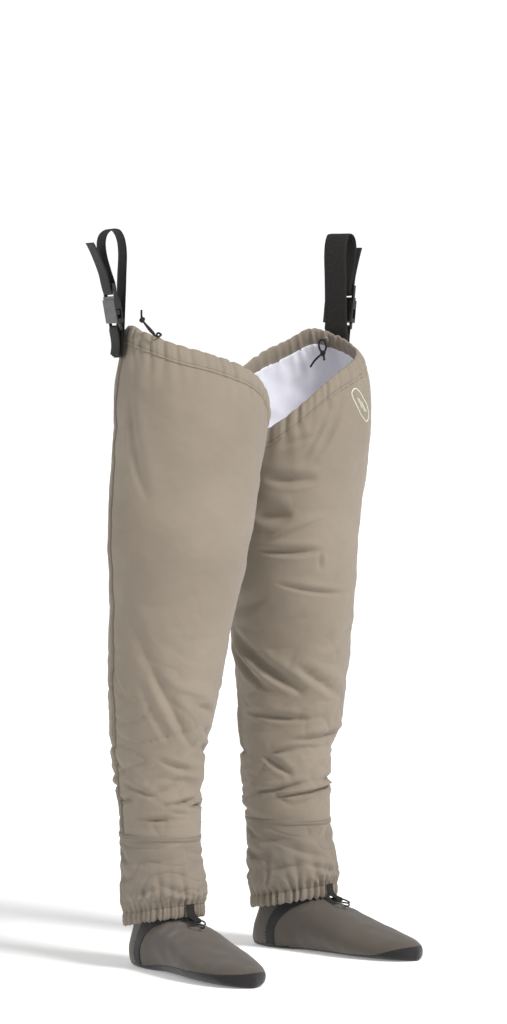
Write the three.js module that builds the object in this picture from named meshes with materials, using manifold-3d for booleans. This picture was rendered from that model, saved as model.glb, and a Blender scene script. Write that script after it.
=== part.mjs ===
// A pair of stocking-foot hip waders standing side by side, as if worn.
// Millimetres, +Z up, toes towards -Y, the wearer's left at +X, origin on the floor at the middle of the pair.
// One leg is modelled in left-hand form and used twice, the right one mirrored in X.
// Inside a leg, a place is (lateral, forward, height): lateral grows outwards from the middle of the pair,
// forward grows towards the toes from the back of the heel.
import * as THREE from "three";
import { ParametricGeometry } from "three/addons/geometries/ParametricGeometry.js";
import { mergeVertices } from "three/addons/utils/BufferGeometryUtils.js";
import Module from "manifold-3d";

const wasm = await Module();
wasm.setup();

// ---- driving dimensions ----
const HEEL_BACK_Y = 137.5; // where the back of the heels stands, so that the pair is centred on the origin
const TOE_OUT = THREE.MathUtils.degToRad(9); // how far each leg is turned outwards
const FOOT_TURN = { left: THREE.MathUtils.degToRad(2), right: THREE.MathUtils.degToRad(15) };
const GAP = 0.3; // between touching pieces

const RIM_OUTER_HEIGHT = 925; // top of the leg at the hip
const RIM_INNER_HEIGHT = 762; // top of the leg at the crotch
const RIM_DIP_SOFTNESS = 0.12; // rounds off the lowest point of the rim
const HEM_HEIGHT = 26;
const HEM_THICKNESS = 8;
const SHELL_WALL = 3;
const LINING_WALL = 1;
const LINING_GAP = 1.2;
const CALF_SEAM_HEIGHT = 190;
const SHELL_BOTTOM = 154;

const SOCK_LENGTH = 300;
const SOCK_WALL = 4;
const SOCK_TOP = 152;
const TAPE_GAP = 0.6;
const CUFF_HEIGHT = 20;
const CUFF_FRONT_BOTTOM = 82;
const CUFF_BACK_BOTTOM = 58;

const WEBBING_WIDTH = 38;
const WEBBING_THICKNESS = 1.8;
const SIDE_SEAM_AZIMUTH = THREE.MathUtils.degToRad(-20); // the side seam runs a little behind the outer side
// The belt strap on each rim: its place round the leg, the way the webbing's face looks, its base's height.
const STRAPS = {
  left: { azimuth: THREE.MathUtils.degToRad(8), facing: THREE.MathUtils.degToRad(-10), height: 928 },
  right: { azimuth: SIDE_SEAM_AZIMUTH, facing: THREE.MathUtils.degToRad(-28), height: 923 },
};
const BUCKLE_TILT = THREE.MathUtils.degToRad(10);
const CORD_DIAMETER = 3;

// The outside of the leg: height, lateral centre, forward centre, half width, half depth.
const LEG_STATIONS = [
  [60, 145.3, 68, 41, 54],
  [110, 145.3, 68, 41, 54],
  [152, 145.2, 67.5, 42, 55],
  [186, 143.5, 58, 49.5, 64],
  [215, 143, 56, 54, 68],
  [300, 143, 54, 62, 73],
  [373, 143, 61, 70, 84],
  [467, 137, 66, 82, 92],
  [560, 130, 75, 96, 98],
  [680, 124, 86, 110, 102],
  [790, 121.5, 98, 116, 104],
  [865, 121.5, 98, 112, 99],
  [905, 121.5, 90, 98, 88],
  [945, 122, 84, 86, 78],
];
// The outside of the gravel guard: share of the way up from its cuff to the calf seam, then as above.
const GUARD_STATIONS = [
  [0, 145.4, 67, 50.5, 67.2],
  [0.14, 145.2, 67, 58.5, 73],
  [0.35, 145, 65, 60, 74],
  [0.75, 144, 60, 57, 71.5],
  [1, 143, 57, 54.5, 69],
];
// The sock's foot: distance from the heel, half width, height of the top.
const FOOT_STATIONS = [
  [2, 16, 24],
  [18, 29, 50],
  [50, 35, 66],
  [90, 39, 80],
  [130, 43, 77],
  [165, 47, 66],
  [205, 51, 52],
  [245, 47, 40],
  [278, 36, 31],
  [294, 20, 24],
  [300, 6, 17],
];
// The sock's ankle: height, distance from the heel, half width, half depth.
const ANKLE_STATIONS = [
  [-4, 52, 26, 44],
  [20, 55, 34, 54],
  [45, 58, 36, 55],
  [75, 66, 38, 54],
  [110, 69, 40, 52],
  [160, 69, 41, 54],
];

// ---- shape helpers ----

// A smooth curve through rows of numbers, looked up by each row's first number.
function smoothTable(rows) {
  const size = rows[0].length - 1;
  const keys = rows.map((row) => row[0]);
  const values = rows.flatMap((row) => row.slice(1));
  const curve = new THREE.CubicInterpolant(keys, values, size, new Array(size));
  return (key) => [...curve.evaluate(THREE.MathUtils.clamp(key, keys[0], keys.at(-1)))];
}

// A geometry with only its positions, shared vertices merged and collapsed triangles dropped.
function weld(geometry) {
  const bare = new THREE.BufferGeometry();
  bare.setAttribute("position", geometry.getAttribute("position"));
  if (geometry.index) bare.setIndex(geometry.index);
  const merged = mergeVertices(bare, 1e-3);
  const kept = [];
  for (let i = 0; i < merged.index.count; i += 3) {
    const [a, b, c] = [0, 1, 2].map((k) => merged.index.getX(i + k));
    if (a !== b && b !== c && a !== c) kept.push(a, b, c);
  }
  merged.setIndex(kept);
  return merged;
}

function toSolid(geometry) {
  const closed = weld(geometry);
  const solid = new wasm.Manifold(
    new wasm.Mesh({
      numProp: 3,
      vertProperties: new Float32Array(closed.getAttribute("position").array),
      triVerts: new Uint32Array(closed.index.array),
    }),
  );
  return solid;
}

// Slivers left by the joins and cuts are smoothed away within this distance.
const SLIVER = 0.08;

function toGeometry(solid) {
  const mesh = solid.asOriginal().simplify(SLIVER).getMesh();
  const geometry = new THREE.BufferGeometry();
  geometry.setAttribute("position", new THREE.BufferAttribute(mesh.vertProperties, 3));
  geometry.setIndex(new THREE.BufferAttribute(mesh.triVerts, 1));
  return geometry;
}

// Turns a geometry's faces round if they point inwards.
function facingOut(geometry) {
  const closed = weld(geometry);
  const position = closed.getAttribute("position");
  const corner = [new THREE.Vector3(), new THREE.Vector3(), new THREE.Vector3()];
  let volume = 0;
  for (let i = 0; i < closed.index.count; i += 3) {
    corner.forEach((v, k) => v.fromBufferAttribute(position, closed.index.getX(i + k)));
    volume += corner[0].dot(corner[1].cross(corner[2]));
  }
  if (volume < 0) {
    closed.setIndex([...closed.index.array].reverse());
  }
  return closed;
}

// A closed surface point(u, v), with u and v from 0 to 1. It closes on itself in u, and in v it either
// closes on itself too or shrinks to a point at both ends.
function closedSurface(point, around, along) {
  const fill = (u, v, target) => target.copy(point(u % 1, v));
  return facingOut(new ParametricGeometry(fill, around, along));
}

// ---- the leg as a surface ----
const legAt = smoothTable(LEG_STATIONS);
const guardShare = smoothTable(GUARD_STATIONS);
const guardAt = (height, angle) => {
  const bottom = cuffBottom(angle) + CUFF_HEIGHT;
  return guardShare((height - bottom) / (CALF_SEAM_HEIGHT - bottom));
};
const cuffAt = () => GUARD_STATIONS[0].slice(1);
const calfAt = () => GUARD_STATIONS.at(-1).slice(1);

// A point on the oval round a leg. Angle 0 is the outer side, a quarter turn is the front.
function ovalPoint(table, angle, height, offset) {
  const [lateral, forward, halfWidth, halfDepth] = table(height, angle);
  const across = (halfWidth + offset) * Math.cos(angle);
  const ahead = (halfDepth + offset) * Math.sin(angle);
  const x = lateral + across * Math.cos(TOE_OUT) + ahead * Math.sin(TOE_OUT);
  const f = forward - across * Math.sin(TOE_OUT) + ahead * Math.cos(TOE_OUT);
  return new THREE.Vector3(x, HEEL_BACK_Y - f, height);
}

// Where the rim leaves its slanting line: place round the leg and half spread in degrees, rise in mm.
// It is pulled up under the strap, and sags between the strap and the front.
const RIM_BUMPS = [
  [-16, 20, 10],
  [45, 26, -7],
  [118, 28, 12],
];

function rimHeight(angle) {
  const lift = Math.hypot(Math.cos(angle / 2), RIM_DIP_SOFTNESS) / Math.hypot(1, RIM_DIP_SOFTNESS);
  const degrees = THREE.MathUtils.radToDeg(angle);
  const bumps = RIM_BUMPS.reduce((sum, [at, spread, rise]) => {
    const gap = THREE.MathUtils.euclideanModulo(degrees - at + 180, 360) - 180;
    return sum + rise * Math.exp(-((gap / spread) ** 2));
  }, 0);
  return RIM_INNER_HEIGHT + (RIM_OUTER_HEIGHT - RIM_INNER_HEIGHT) * lift + bumps;
}

// A tube wall between two heights that may change round the leg. wall lists the corners of its section as
// [share of the height, offset from the leg's surface], going once round.
function wallRing(table, lowAt, highAt, wall, around) {
  const corners = [...wall, wall[0]];
  return closedSurface(
    (u, v) => {
      const angle = u * 2 * Math.PI;
      const [share, offset] = corners[Math.round(v * wall.length)];
      const height = THREE.MathUtils.lerp(lowAt(angle), highAt(angle), share);
      return ovalPoint(table, angle, height, offset);
    },
    around,
    wall.length,
  );
}

// The section of a plain wall, with a corner at each of the given shares of its height.
function plainWall(shares, outerOffset, innerOffset) {
  const up = shares.map((share) => [share, outerOffset]);
  const down = shares.toReversed().map((share) => [share, innerOffset]);
  return [...up, ...down];
}

const evenShares = (steps) => Array.from({ length: steps + 1 }, (_, i) => i / steps);

// The section of a folded hem: an upside-down U with a channel for a cord.
function channelWall(thickness, wall) {
  const half = thickness / 2;
  return [
    [0, half],
    [0.8, half],
    [0.95, half * 0.75],
    [1, 0],
    [0.95, -half * 0.75],
    [0.8, -half],
    [0, -half],
    [0, -half + wall],
    [0.82, -half + wall],
    [0.82, half - wall],
    [0, half - wall],
  ];
}

// ---- cloth pieces of the leg ----
const LEG_SIDES = 24;
const RIM_SIDES = 36;
const SHELL_STEPS = 9;
const LINING_STEPS = 5; // the lining covers this many of the shell's steps, from the top down
const hemBottom = (angle) => rimHeight(angle) - HEM_HEIGHT;
const clothTop = (angle) => hemBottom(angle) - 2;

function legShell() {
  return wallRing(legAt, () => SHELL_BOTTOM, clothTop, plainWall(evenShares(SHELL_STEPS), 0, -SHELL_WALL), LEG_SIDES);
}

function legLining() {
  const outside = -SHELL_WALL - LINING_GAP;
  const share = 1 - LINING_STEPS / SHELL_STEPS;
  const bottom = (angle) => THREE.MathUtils.lerp(SHELL_BOTTOM, clothTop(angle), share);
  const wall = plainWall(evenShares(LINING_STEPS), outside, outside - LINING_WALL);
  return wallRing(legAt, bottom, clothTop, wall, LEG_SIDES);
}

// The hem, with a hole in its inner wall for the cord to come out of.
function topHem(exitAngle) {
  const lift = -SHELL_WALL / 2;
  const section = channelWall(HEM_THICKNESS, 1.8).map(([share, offset]) => [share, offset + lift]);
  const hem = toSolid(wallRing(legAt, hemBottom, rimHeight, section, RIM_SIDES));
  const drill = new THREE.CylinderGeometry(2.6, 2.6, 6, 10);
  drill.applyMatrix4(eyeletPlace(exitAngle, -6));
  return hem.subtract(toSolid(drill));
}

// A placing whose y points into the leg, at the height of the hem's cord.
function eyeletPlace(angle, offset) {
  const seat = ovalPoint(legAt, angle, rimHeight(angle) - 13, offset);
  const turned = new THREE.Matrix4().makeRotationZ(Math.PI / 2 - angle + TOE_OUT);
  return turned.setPosition(seat);
}

function hemEyelet(angle) {
  const profile = [[2.1, 0], [4.6, 0], [4.8, 0.6], [3.4, 1.3], [2.1, 1.1], [2.1, 0]];
  const ring = new THREE.LatheGeometry(profile.map(([r, h]) => new THREE.Vector2(r, h)), 14);
  ring.applyMatrix4(eyeletPlace(angle, -7.4));
  return facingOut(ring);
}

// The elastic cord inside the hem, a closed ring a little under the rim.
function hemCord() {
  const radius = CORD_DIAMETER / 2;
  const depth = HEM_HEIGHT * 0.18 + radius + 1;
  return closedSurface(
    (u, v) => {
      const angle = u * 2 * Math.PI;
      const turn = v * 2 * Math.PI;
      const height = rimHeight(angle) - depth + radius * Math.sin(turn);
      return ovalPoint(legAt, angle, height, -SHELL_WALL / 2 + radius * Math.cos(turn));
    },
    RIM_SIDES,
    5,
  );
}

// Bends a flat piece round the leg: its x goes round, its y up and its z outwards. tilt turns it in its plane.
function wrappedOnLeg(flat, angle, height, tilt = 0) {
  const position = flat.getAttribute("position");
  const corner = new THREE.Vector3();
  flat.rotateZ(tilt);
  for (let i = 0; i < position.count; i++) {
    corner.fromBufferAttribute(position, i);
    const girth = 110;
    const place = ovalPoint(legAt, angle + corner.x / girth, height + corner.y, corner.z);
    position.setXYZ(i, place.x, place.y, place.z);
  }
  return facingOut(flat);
}

function sideSeam() {
  const low = CALF_SEAM_HEIGHT + 10;
  const high = clothTop(SIDE_SEAM_AZIMUTH) - 44;
  const strip = new THREE.BoxGeometry(10, high - low, 0.9, 1, SHELL_STEPS, 1);
  strip.translate(0, 0, 1.2);
  return wrappedOnLeg(strip, SIDE_SEAM_AZIMUTH, (low + high) / 2);
}

// A plain woven label where a maker would put one.
function thighLabel() {
  const patch = new THREE.BoxGeometry(60, 20, 0.8, 6, 2, 1);
  patch.translate(0, 0, 1.1);
  return wrappedOnLeg(patch, THREE.MathUtils.degToRad(80), 818, THREE.MathUtils.degToRad(45));
}

// The tape that joins the leg to the sock.
function ankleTape() {
  return wallRing(legAt, () => 143, () => 166, plainWall(evenShares(3), 3.1, 2.2), LEG_SIDES);
}

function gravelGuard() {
  const bottom = (angle) => cuffBottom(angle) + CUFF_HEIGHT + GAP;
  const wall = plainWall([0, 0.06, 0.14, 0.35, 0.65, 1], 0, -2);
  return wallRing(guardAt, bottom, () => CALF_SEAM_HEIGHT, wall, LEG_SIDES);
}

function cuffBottom(angle) {
  const middle = (CUFF_FRONT_BOTTOM + CUFF_BACK_BOTTOM) / 2;
  return middle + ((CUFF_FRONT_BOTTOM - CUFF_BACK_BOTTOM) / 2) * Math.sin(angle);
}

function guardCuff() {
  const top = (angle) => cuffBottom(angle) + CUFF_HEIGHT;
  const section = channelWall(5.5, 1.5).map(([share, offset]) => [share, offset - 3]);
  return wallRing(cuffAt, cuffBottom, top, section, LEG_SIDES);
}

function guardElastic() {
  const low = (angle) => cuffBottom(angle) + 3;
  const high = (angle) => cuffBottom(angle) + 15;
  return wallRing(cuffAt, low, high, plainWall([0, 1], -2.4, -3.6), LEG_SIDES);
}

// The binding over the joint between the leg and the top of the gravel guard.
function calfBinding() {
  const low = () => CALF_SEAM_HEIGHT + GAP;
  const high = () => CALF_SEAM_HEIGHT + 7;
  return wallRing(calfAt, low, high, plainWall([0, 1], 0.4, -0.9), LEG_SIDES);
}

// ---- the neoprene sock, in the foot's own frame: x lateral, -y forward from the heel, z up ----
const footAt = smoothTable(FOOT_STATIONS);
const ankleAt = smoothTable(ANKLE_STATIONS);

function footSolid(offset) {
  const sections = 13;
  const point = (u, v) => {
    const angle = u * 2 * Math.PI;
    const [halfWidth, top] = footAt(THREE.MathUtils.lerp(FOOT_STATIONS[0][0], SOCK_LENGTH, v));
    const s = THREE.MathUtils.lerp(FOOT_STATIONS[0][0] - offset, SOCK_LENGTH + offset, v);
    const middle = top / 2 - 2;
    const x = (halfWidth + offset) * roundedPower(Math.cos(angle), 0.82);
    const z = middle + (middle + 4 + offset) * roundedPower(Math.sin(angle), 0.9);
    return new THREE.Vector3(x, -s, z);
  };
  const tube = new ParametricGeometry((u, v, target) => target.copy(point(u % 1, v)), 20, sections);
  return capEnds(tube);
}

const roundedPower = (value, power) => Math.sign(value) * Math.abs(value) ** power;

function ankleSolid(offset, top) {
  const levels = 6;
  const point = (u, v) => {
    const angle = u * 2 * Math.PI;
    const height = THREE.MathUtils.lerp(-4, top, v);
    const [s, halfWidth, halfDepth] = ankleAt(height);
    const x = (halfWidth + offset) * Math.cos(angle);
    return new THREE.Vector3(x, -(s + (halfDepth + offset) * Math.sin(angle)), height);
  };
  return capEnds(new ParametricGeometry((u, v, target) => target.copy(point(u % 1, v)), 20, levels));
}

// Closes the two open rings of a tube with a fan each, and gives it as a solid.
function capEnds(tube) {
  const position = tube.getAttribute("position");
  const index = [...tube.index.array];
  const points = [...position.array];
  const ringLength = tube.parameters.slices + 1;
  const rings = [0, position.count - ringLength];
  rings.forEach((first, end) => {
    const centre = new THREE.Vector3();
    const corner = new THREE.Vector3();
    for (let i = 0; i < ringLength - 1; i++) centre.add(corner.fromBufferAttribute(position, first + i));
    centre.divideScalar(ringLength - 1);
    const hub = points.length / 3;
    points.push(centre.x, centre.y, centre.z);
    for (let i = 0; i < ringLength - 1; i++) {
      const edge = [first + i, first + i + 1];
      index.push(hub, ...(end === 0 ? edge.reverse() : edge));
    }
  });
  const closed = new THREE.BufferGeometry();
  closed.setAttribute("position", new THREE.Float32BufferAttribute(points, 3));
  closed.setIndex(index);
  const solid = toSolid(closed);
  return solid.volume() < 0 ? toSolid(facingOut(closed)) : solid;
}

function sockBody(offset, top) {
  return footSolid(offset).add(ankleSolid(offset, top));
}

// A prism across the foot from an outline in (forward, height).
function acrossFoot(outline, halfWidth = 90) {
  const shape = new THREE.Shape(outline.map(([s, z]) => new THREE.Vector2(s, z)));
  const prism = new THREE.ExtrudeGeometry(shape, { depth: 2 * halfWidth, bevelEnabled: false });
  const placed = new THREE.Matrix4().makeBasis(
    new THREE.Vector3(0, -1, 0),
    new THREE.Vector3(0, 0, 1),
    new THREE.Vector3(1, 0, 0),
  );
  prism.applyMatrix4(placed);
  prism.translate(-halfWidth, 0, 0);
  return toSolid(facingOut(prism));
}

// The seam between the heel panel and the vamp, seen from the side.
const seamCurve = new THREE.SplineCurve(
  [
    [45, -10],
    [47, 12],
    [57, 42],
    [80, 67],
    [112, 83],
    [150, 96],
    [190, 108],
  ].map(([s, z]) => new THREE.Vector2(s, z)),
);

// The seam moved sideways by a distance, positive towards the toes.
function seamOffset(distance) {
  return seamCurve.getSpacedPoints(8).map((point, i) => {
    const along = seamCurve.getTangentAt(i / 8);
    return [point.x + along.y * distance, point.y - along.x * distance];
  });
}

const soleEdge = [
  [-30, 7],
  [60, 6],
  [150, 7],
  [220, 10],
  [270, 17],
  [340, 30],
];

function sockPieces() {
  const outer = sockBody(0, SOCK_TOP);
  const inner = sockBody(-SOCK_WALL, SOCK_TOP + 8);
  const aboveFloor = acrossFoot([[-60, 0], [400, 0], [400, 250], [-60, 250]]);
  const aboveInsole = acrossFoot([[-60, 4.5], [400, 4.5], [400, 250], [-60, 250]]);
  const shell = outer.intersect(aboveFloor).subtract(inner.intersect(aboveInsole));
  const soleZone = acrossFoot([[-60, -20], [400, -20], ...soleEdge.toReversed()]);
  const upperZone = acrossFoot([...soleEdge.map(([s, z]) => [s, z + GAP]), [400, 250], [-60, 250]]);
  const vampZone = acrossFoot([...seamOffset(GAP), [400, 120], [400, -10]]);
  const heelZone = acrossFoot([...seamOffset(-GAP).toReversed(), [-60, -10], [-60, 250], [200, 250]]);
  const upper = shell.intersect(upperZone);
  const skin = sockBody(1.6, SOCK_TOP - 14).subtract(sockBody(TAPE_GAP, SOCK_TOP + 8));
  const tapeZone = acrossFoot([...seamOffset(9), ...seamOffset(-9).toReversed()]);
  const clearOfFloor = acrossFoot([[-60, 1], [400, 1], [400, 250], [-60, 250]]);
  const heelTapeZone = acrossFoot([[-20, 2], [30, 2], [30, 56], [-20, 56]], 5);
  return {
    sock_sole: shell.intersect(soleZone),
    sock_vamp: upper.intersect(vampZone),
    sock_heel: upper.intersect(heelZone),
    sock_seam_tape: skin.intersect(tapeZone).intersect(clearOfFloor),
    sock_heel_tape: skin.intersect(heelTapeZone),
  };
}

// ---- webbing and buckle, in the strap's frame: x along the webbing's width, y outwards, z up ----

// A ribbon of webbing along a path in (outwards, height), as wide as asked.
function ribbon(path, width, thickness = WEBBING_THICKNESS) {
  const curve = new THREE.SplineCurve(path.map(([n, z]) => new THREE.Vector2(n, z)));
  const steps = 3 * (path.length - 1);
  const sides = [1, -1].map((side) =>
    Array.from({ length: steps + 1 }, (_, i) => {
      const point = curve.getPoint(i / steps);
      const along = curve.getTangent(i / steps);
      const half = (side * thickness) / 2;
      return new THREE.Vector2(point.x - along.y * half, point.y + along.x * half);
    }),
  );
  const shape = new THREE.Shape([...sides[0], ...sides[1].toReversed()]);
  const strip = new THREE.ExtrudeGeometry(shape, { depth: width, bevelEnabled: false });
  const placed = new THREE.Matrix4().makeBasis(
    new THREE.Vector3(0, 1, 0),
    new THREE.Vector3(0, 0, 1),
    new THREE.Vector3(1, 0, 0),
  );
  strip.applyMatrix4(placed);
  strip.translate(-width / 2, 0, 0);
  return facingOut(strip);
}

function box(width, depth, height, x, y, z) {
  const block = new THREE.BoxGeometry(width, depth, height);
  block.translate(x, y, z);
  return toSolid(block);
}

const BUCKLE_WIDTH = 50;
const FEMALE_LENGTH = 34;
const FEMALE_DEPTH = 10;
const BUCKLE_WALL = 1.8;
const PRONG_LENGTH = 23;
const PRONG_WIDTH = 5;
const PRONG_X = 19.5;

// The socket half: a flat box open at the top, with a window in each side and a bar for the tab below.
function buckleFemale() {
  const middle = FEMALE_LENGTH / 2 + 5;
  const shell = box(BUCKLE_WIDTH, FEMALE_DEPTH, FEMALE_LENGTH, 0, 0, middle);
  const socket = box(BUCKLE_WIDTH - 2 * BUCKLE_WALL, FEMALE_DEPTH - 2 * BUCKLE_WALL, FEMALE_LENGTH, 0, 0, middle + 2.5);
  const windows = box(BUCKLE_WIDTH + 4, FEMALE_DEPTH - 2 * BUCKLE_WALL, 14, 0, 0, 18);
  const bar = box(BUCKLE_WIDTH - 4, 4, 3, 0, 0, -3.5);
  const ears = [-1, 1].map((side) => box(3.2, 4, 10.5, side * (BUCKLE_WIDTH / 2 - 3.7), 0, 0.2));
  return shell.subtract(socket).subtract(windows).add(bar).add(ears[0]).add(ears[1]);
}

// The plug half's frame: a shoulder that stops on the socket, a guide tongue and two webbing bars.
function buckleMale() {
  const top = FEMALE_LENGTH + 5 + GAP;
  const shoulder = box(BUCKLE_WIDTH - 2, 7, 4, 0, 0, top + 2);
  const tongue = box(9, 4, 24, 0, 0, top - 10);
  const roots = [-1, 1].map((side) => box(PRONG_WIDTH, 4.5, 3, side * PRONG_X, 0, top - 1));
  const rails = [-1, 1].map((side) => box(3.2, 5, 20, side * (BUCKLE_WIDTH / 2 - 3.7), 0, top + 12));
  const lowBar = box(BUCKLE_WIDTH - 6, 3, 3, 0, 0, top + 11);
  const topBar = box(BUCKLE_WIDTH - 4, 5, 3.4, 0, 0, top + 21);
  return [tongue, ...roots, ...rails, lowBar, topBar].reduce((sum, piece) => sum.add(piece), shoulder);
}

// A sprung arm of the plug half, thicker at its thumb ear. side is -1 or 1.
function buckleProng(side) {
  const top = FEMALE_LENGTH + 5 + GAP - 2.5 - GAP;
  const outline = new THREE.Shape([
    new THREE.Vector2(PRONG_X - PRONG_WIDTH / 2, top),
    new THREE.Vector2(PRONG_X + PRONG_WIDTH / 2, top),
    new THREE.Vector2(PRONG_X + PRONG_WIDTH / 2 - 1, top - 9),
    new THREE.Vector2(PRONG_X + 3.2, top - 13),
    new THREE.Vector2(PRONG_X + 2.6, top - PRONG_LENGTH + 3),
    new THREE.Vector2(PRONG_X - 0.5, top - PRONG_LENGTH),
    new THREE.Vector2(PRONG_X - 2.5, top - PRONG_LENGTH + 2),
  ]);
  const arm = new THREE.ExtrudeGeometry(outline, { depth: 4.5, bevelEnabled: false });
  arm.translate(0, 0, -2.25);
  arm.applyMatrix4(
    new THREE.Matrix4().makeBasis(
      new THREE.Vector3(side, 0, 0),
      new THREE.Vector3(0, 0, 1),
      new THREE.Vector3(0, 1, 0),
    ),
  );
  return facingOut(arm);
}

// The belt strap's inner limb, sewn to the outside of the hem and running over the top of the loop.
function strapInnerLimb() {
  const path = [
    [5.4, -36],
    [3.8, -20],
    [1.9, 0],
    [1, 30],
    [-0.5, 80],
    [-1.5, 118],
    [2, 137],
    [8.5, 146.8],
    [14, 148],
  ];
  return ribbon(path, WEBBING_WIDTH);
}

// The outer limb: down from the top of the loop, round the plug's low bar and up to the loose end.
function strapOuterLimb() {
  const path = [
    [14.5, 148],
    [20, 146.8],
    [27, 141],
    [30.5, 130],
    [29, 112],
    [22, 88],
    [15.6, 70],
    [13.9, 59.5],
    [14.9, 55.5],
    [18.5, 54.9],
    [21.1, 58.4],
    [24, 68],
    [28, 84],
    [36, 104],
    [44, 121],
    [48, 128],
  ];
  return ribbon(path, WEBBING_WIDTH);
}

// The tab that holds the socket half: sewn over the hem and folded round the socket's bar.
function buckleTab() {
  const path = [
    [8, -34],
    [6.4, -20],
    [4.9, -6],
    [4.4, 3],
    [5.2, 8],
    [8.2, 10],
    [11.6, 7.6],
    [12, 3],
    [10, -8],
    [9, -20],
    [10.4, -32],
  ];
  return ribbon(path, WEBBING_WIDTH, 1.4);
}

// ---- the lace hook under the front of the gravel guard, in the foot's frame ----
const HOOK_PIVOT = [153, 78.4]; // forward, height
const HOOK_WIRE = 2.4;

function hookTab() {
  const path = [
    [136.2, 101],
    [136.8, 91],
    [140.6, 85.5],
    [147, 82.4],
    [153, 81],
    [155.7, 78.4],
    [153, 75.8],
    [147, 77.6],
    [141, 80.5],
  ];
  return alongFoot(ribbon(path, 14, 1.2));
}

// Turns a shape drawn with y outwards so that y runs backwards, as in the foot's frame.
function alongFoot(geometry) {
  geometry.rotateZ(Math.PI);
  return geometry;
}

function laceHook() {
  const [s, z] = HOOK_PIVOT;
  const bar = new THREE.CylinderGeometry(HOOK_WIRE / 2, HOOK_WIRE / 2, 20, 8);
  bar.rotateZ(Math.PI / 2);
  bar.translate(0, -s, z);
  const arms = [-1, 1].map((side) => {
    const route = new THREE.CatmullRomCurve3(
      [[9.5, s, z], [8.5, s + 8, z - 1.5], [4, s + 17, z - 3]].map(
        ([x, f, h]) => new THREE.Vector3(side * x, -f, h),
      ),
    );
    return wire(route, HOOK_WIRE, 6);
  });
  const nose = new THREE.CatmullRomCurve3(
    [[4.5, s + 16, z - 3], [0, s + 19, z - 3.5], [-4.5, s + 16, z - 3]].map(
      ([x, f, h]) => new THREE.Vector3(x, -f, h),
    ),
  );
  const lip = new THREE.CatmullRomCurve3(
    [[0, s + 18.6, z - 3.5], [0, s + 19, z - 7.5], [0, s + 11, z - 8]].map(
      ([x, f, h]) => new THREE.Vector3(x, -f, h),
    ),
  );
  return [...arms, wire(nose, HOOK_WIRE, 6), wire(lip, HOOK_WIRE, 8)].reduce(
    (sum, piece) => sum.add(piece),
    toSolid(facingOut(bar)),
  );
}

// A round rod along a curve.
function wire(route, diameter, steps, sides = 6) {
  const section = new THREE.Shape(
    Array.from({ length: sides }, (_, i) => {
      const angle = (i / sides) * 2 * Math.PI;
      return new THREE.Vector2(Math.cos(angle), Math.sin(angle)).multiplyScalar(diameter / 2);
    }),
  );
  const rod = new THREE.ExtrudeGeometry(section, { steps, bevelEnabled: false, extrudePath: route });
  return toSolid(facingOut(rod));
}

// ---- the free end of the hem's cord ----
const CORD_EXIT = { left: THREE.MathUtils.degToRad(2), right: THREE.MathUtils.degToRad(22) };

// A place near the cord's exit: turn round the leg in mm, height over the rim, offset from the leg's surface.
function nearExit(angle, [around, up, offset]) {
  const there = angle + around / 105;
  const place = ovalPoint(legAt, there, rimHeight(there), offset);
  place.z += up;
  return place;
}

// The right leg's cord comes up over the rim, is knotted there and ends in a short tail, with a small
// loop to the front. The left one hangs inside the rim as a round loop with its tail below it.
const CORD_ROUTES = {
  right: {
    tail: [[0, -13, -9], [-1, 0, -8.5], [-4, 6, -3], [-9, 12, 4], [-13, 18, 9], [-13.5, 24, 10], [-13, 32, 10.5]],
    loop: [[2, -10, -11.5], [4, 2, -8.6], [9, 5.5, -6], [15, 5, -4], [13, 1.5, 6.5], [4, 5, 9], [-12, 17, 9]],
    knot: [-13, 18, 9],
  },
  left: {
    tail: [[0, -13, -9], [5.5, -14.5, -11], [9.5, -20, -12], [8, -27, -12.5], [1.5, -33, -12.5], [-9, -41, -12],
      [-20, -50, -11], [-29, -59, -10]],
    loop: [[-1, -13, -9.5], [-5.5, -16.5, -11], [-7, -22.5, -12], [-4, -29, -12.5], [1.5, -33, -12.5]],
    knot: [1.5, -33, -12.5],
  },
};

function cordEnd(side) {
  const angle = CORD_EXIT[side];
  const { tail, loop, knot } = CORD_ROUTES[side];
  const strands = [tail, loop].map((route) => {
    const points = route.map((place) => nearExit(angle, place));
    return wire(new THREE.CatmullRomCurve3(points), CORD_DIAMETER, 14);
  });
  const lump = new THREE.SphereGeometry(3.6, 8, 6);
  const centre = nearExit(angle, knot);
  lump.translate(centre.x, centre.y, centre.z);
  return strands[0].add(strands[1]).add(toSolid(lump));
}

// ---- materials ----
const finish = (color, roughness, metalness = 0) =>
  new THREE.MeshStandardMaterial({ color, roughness, metalness });
const shellCloth = finish(0xa3957f, 0.75);
const guardCloth = finish(0x978a7a, 0.75);
const liningCloth = finish(0xd6d5e2, 0.8);
const neoprene = finish(0x6b6358, 0.85);
const blackNeoprene = finish(0x211f1e, 0.8);
const webbing = finish(0x2b2a27, 0.85);
const blackPlastic = finish(0x24241f, 0.4);
const cordCloth = finish(0x2c2b28, 0.7);
const blackWire = finish(0x2a2a28, 0.4, 0.6);
const eyeletMetal = finish(0x8b8a84, 0.35, 0.9);
const labelCloth = finish(0xc4c3ab, 0.8);

const asGeometry = (shape) => (shape.isBufferGeometry ? shape : toGeometry(shape));

function named(name, shape, material) {
  const mesh = new THREE.Mesh(asGeometry(shape), material);
  mesh.name = name;
  return mesh;
}

// ---- putting a leg together ----
// The strap's frame on the hem: y points out of the strap's face.
function strapFrame(side) {
  const { azimuth, facing, height } = STRAPS[side];
  const anchor = ovalPoint(legAt, azimuth, height - 14, HEM_THICKNESS / 2);
  const frame = new THREE.Group();
  frame.position.set(anchor.x, anchor.y, height);
  frame.rotation.z = -Math.PI / 2 - facing;
  return frame;
}

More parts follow.
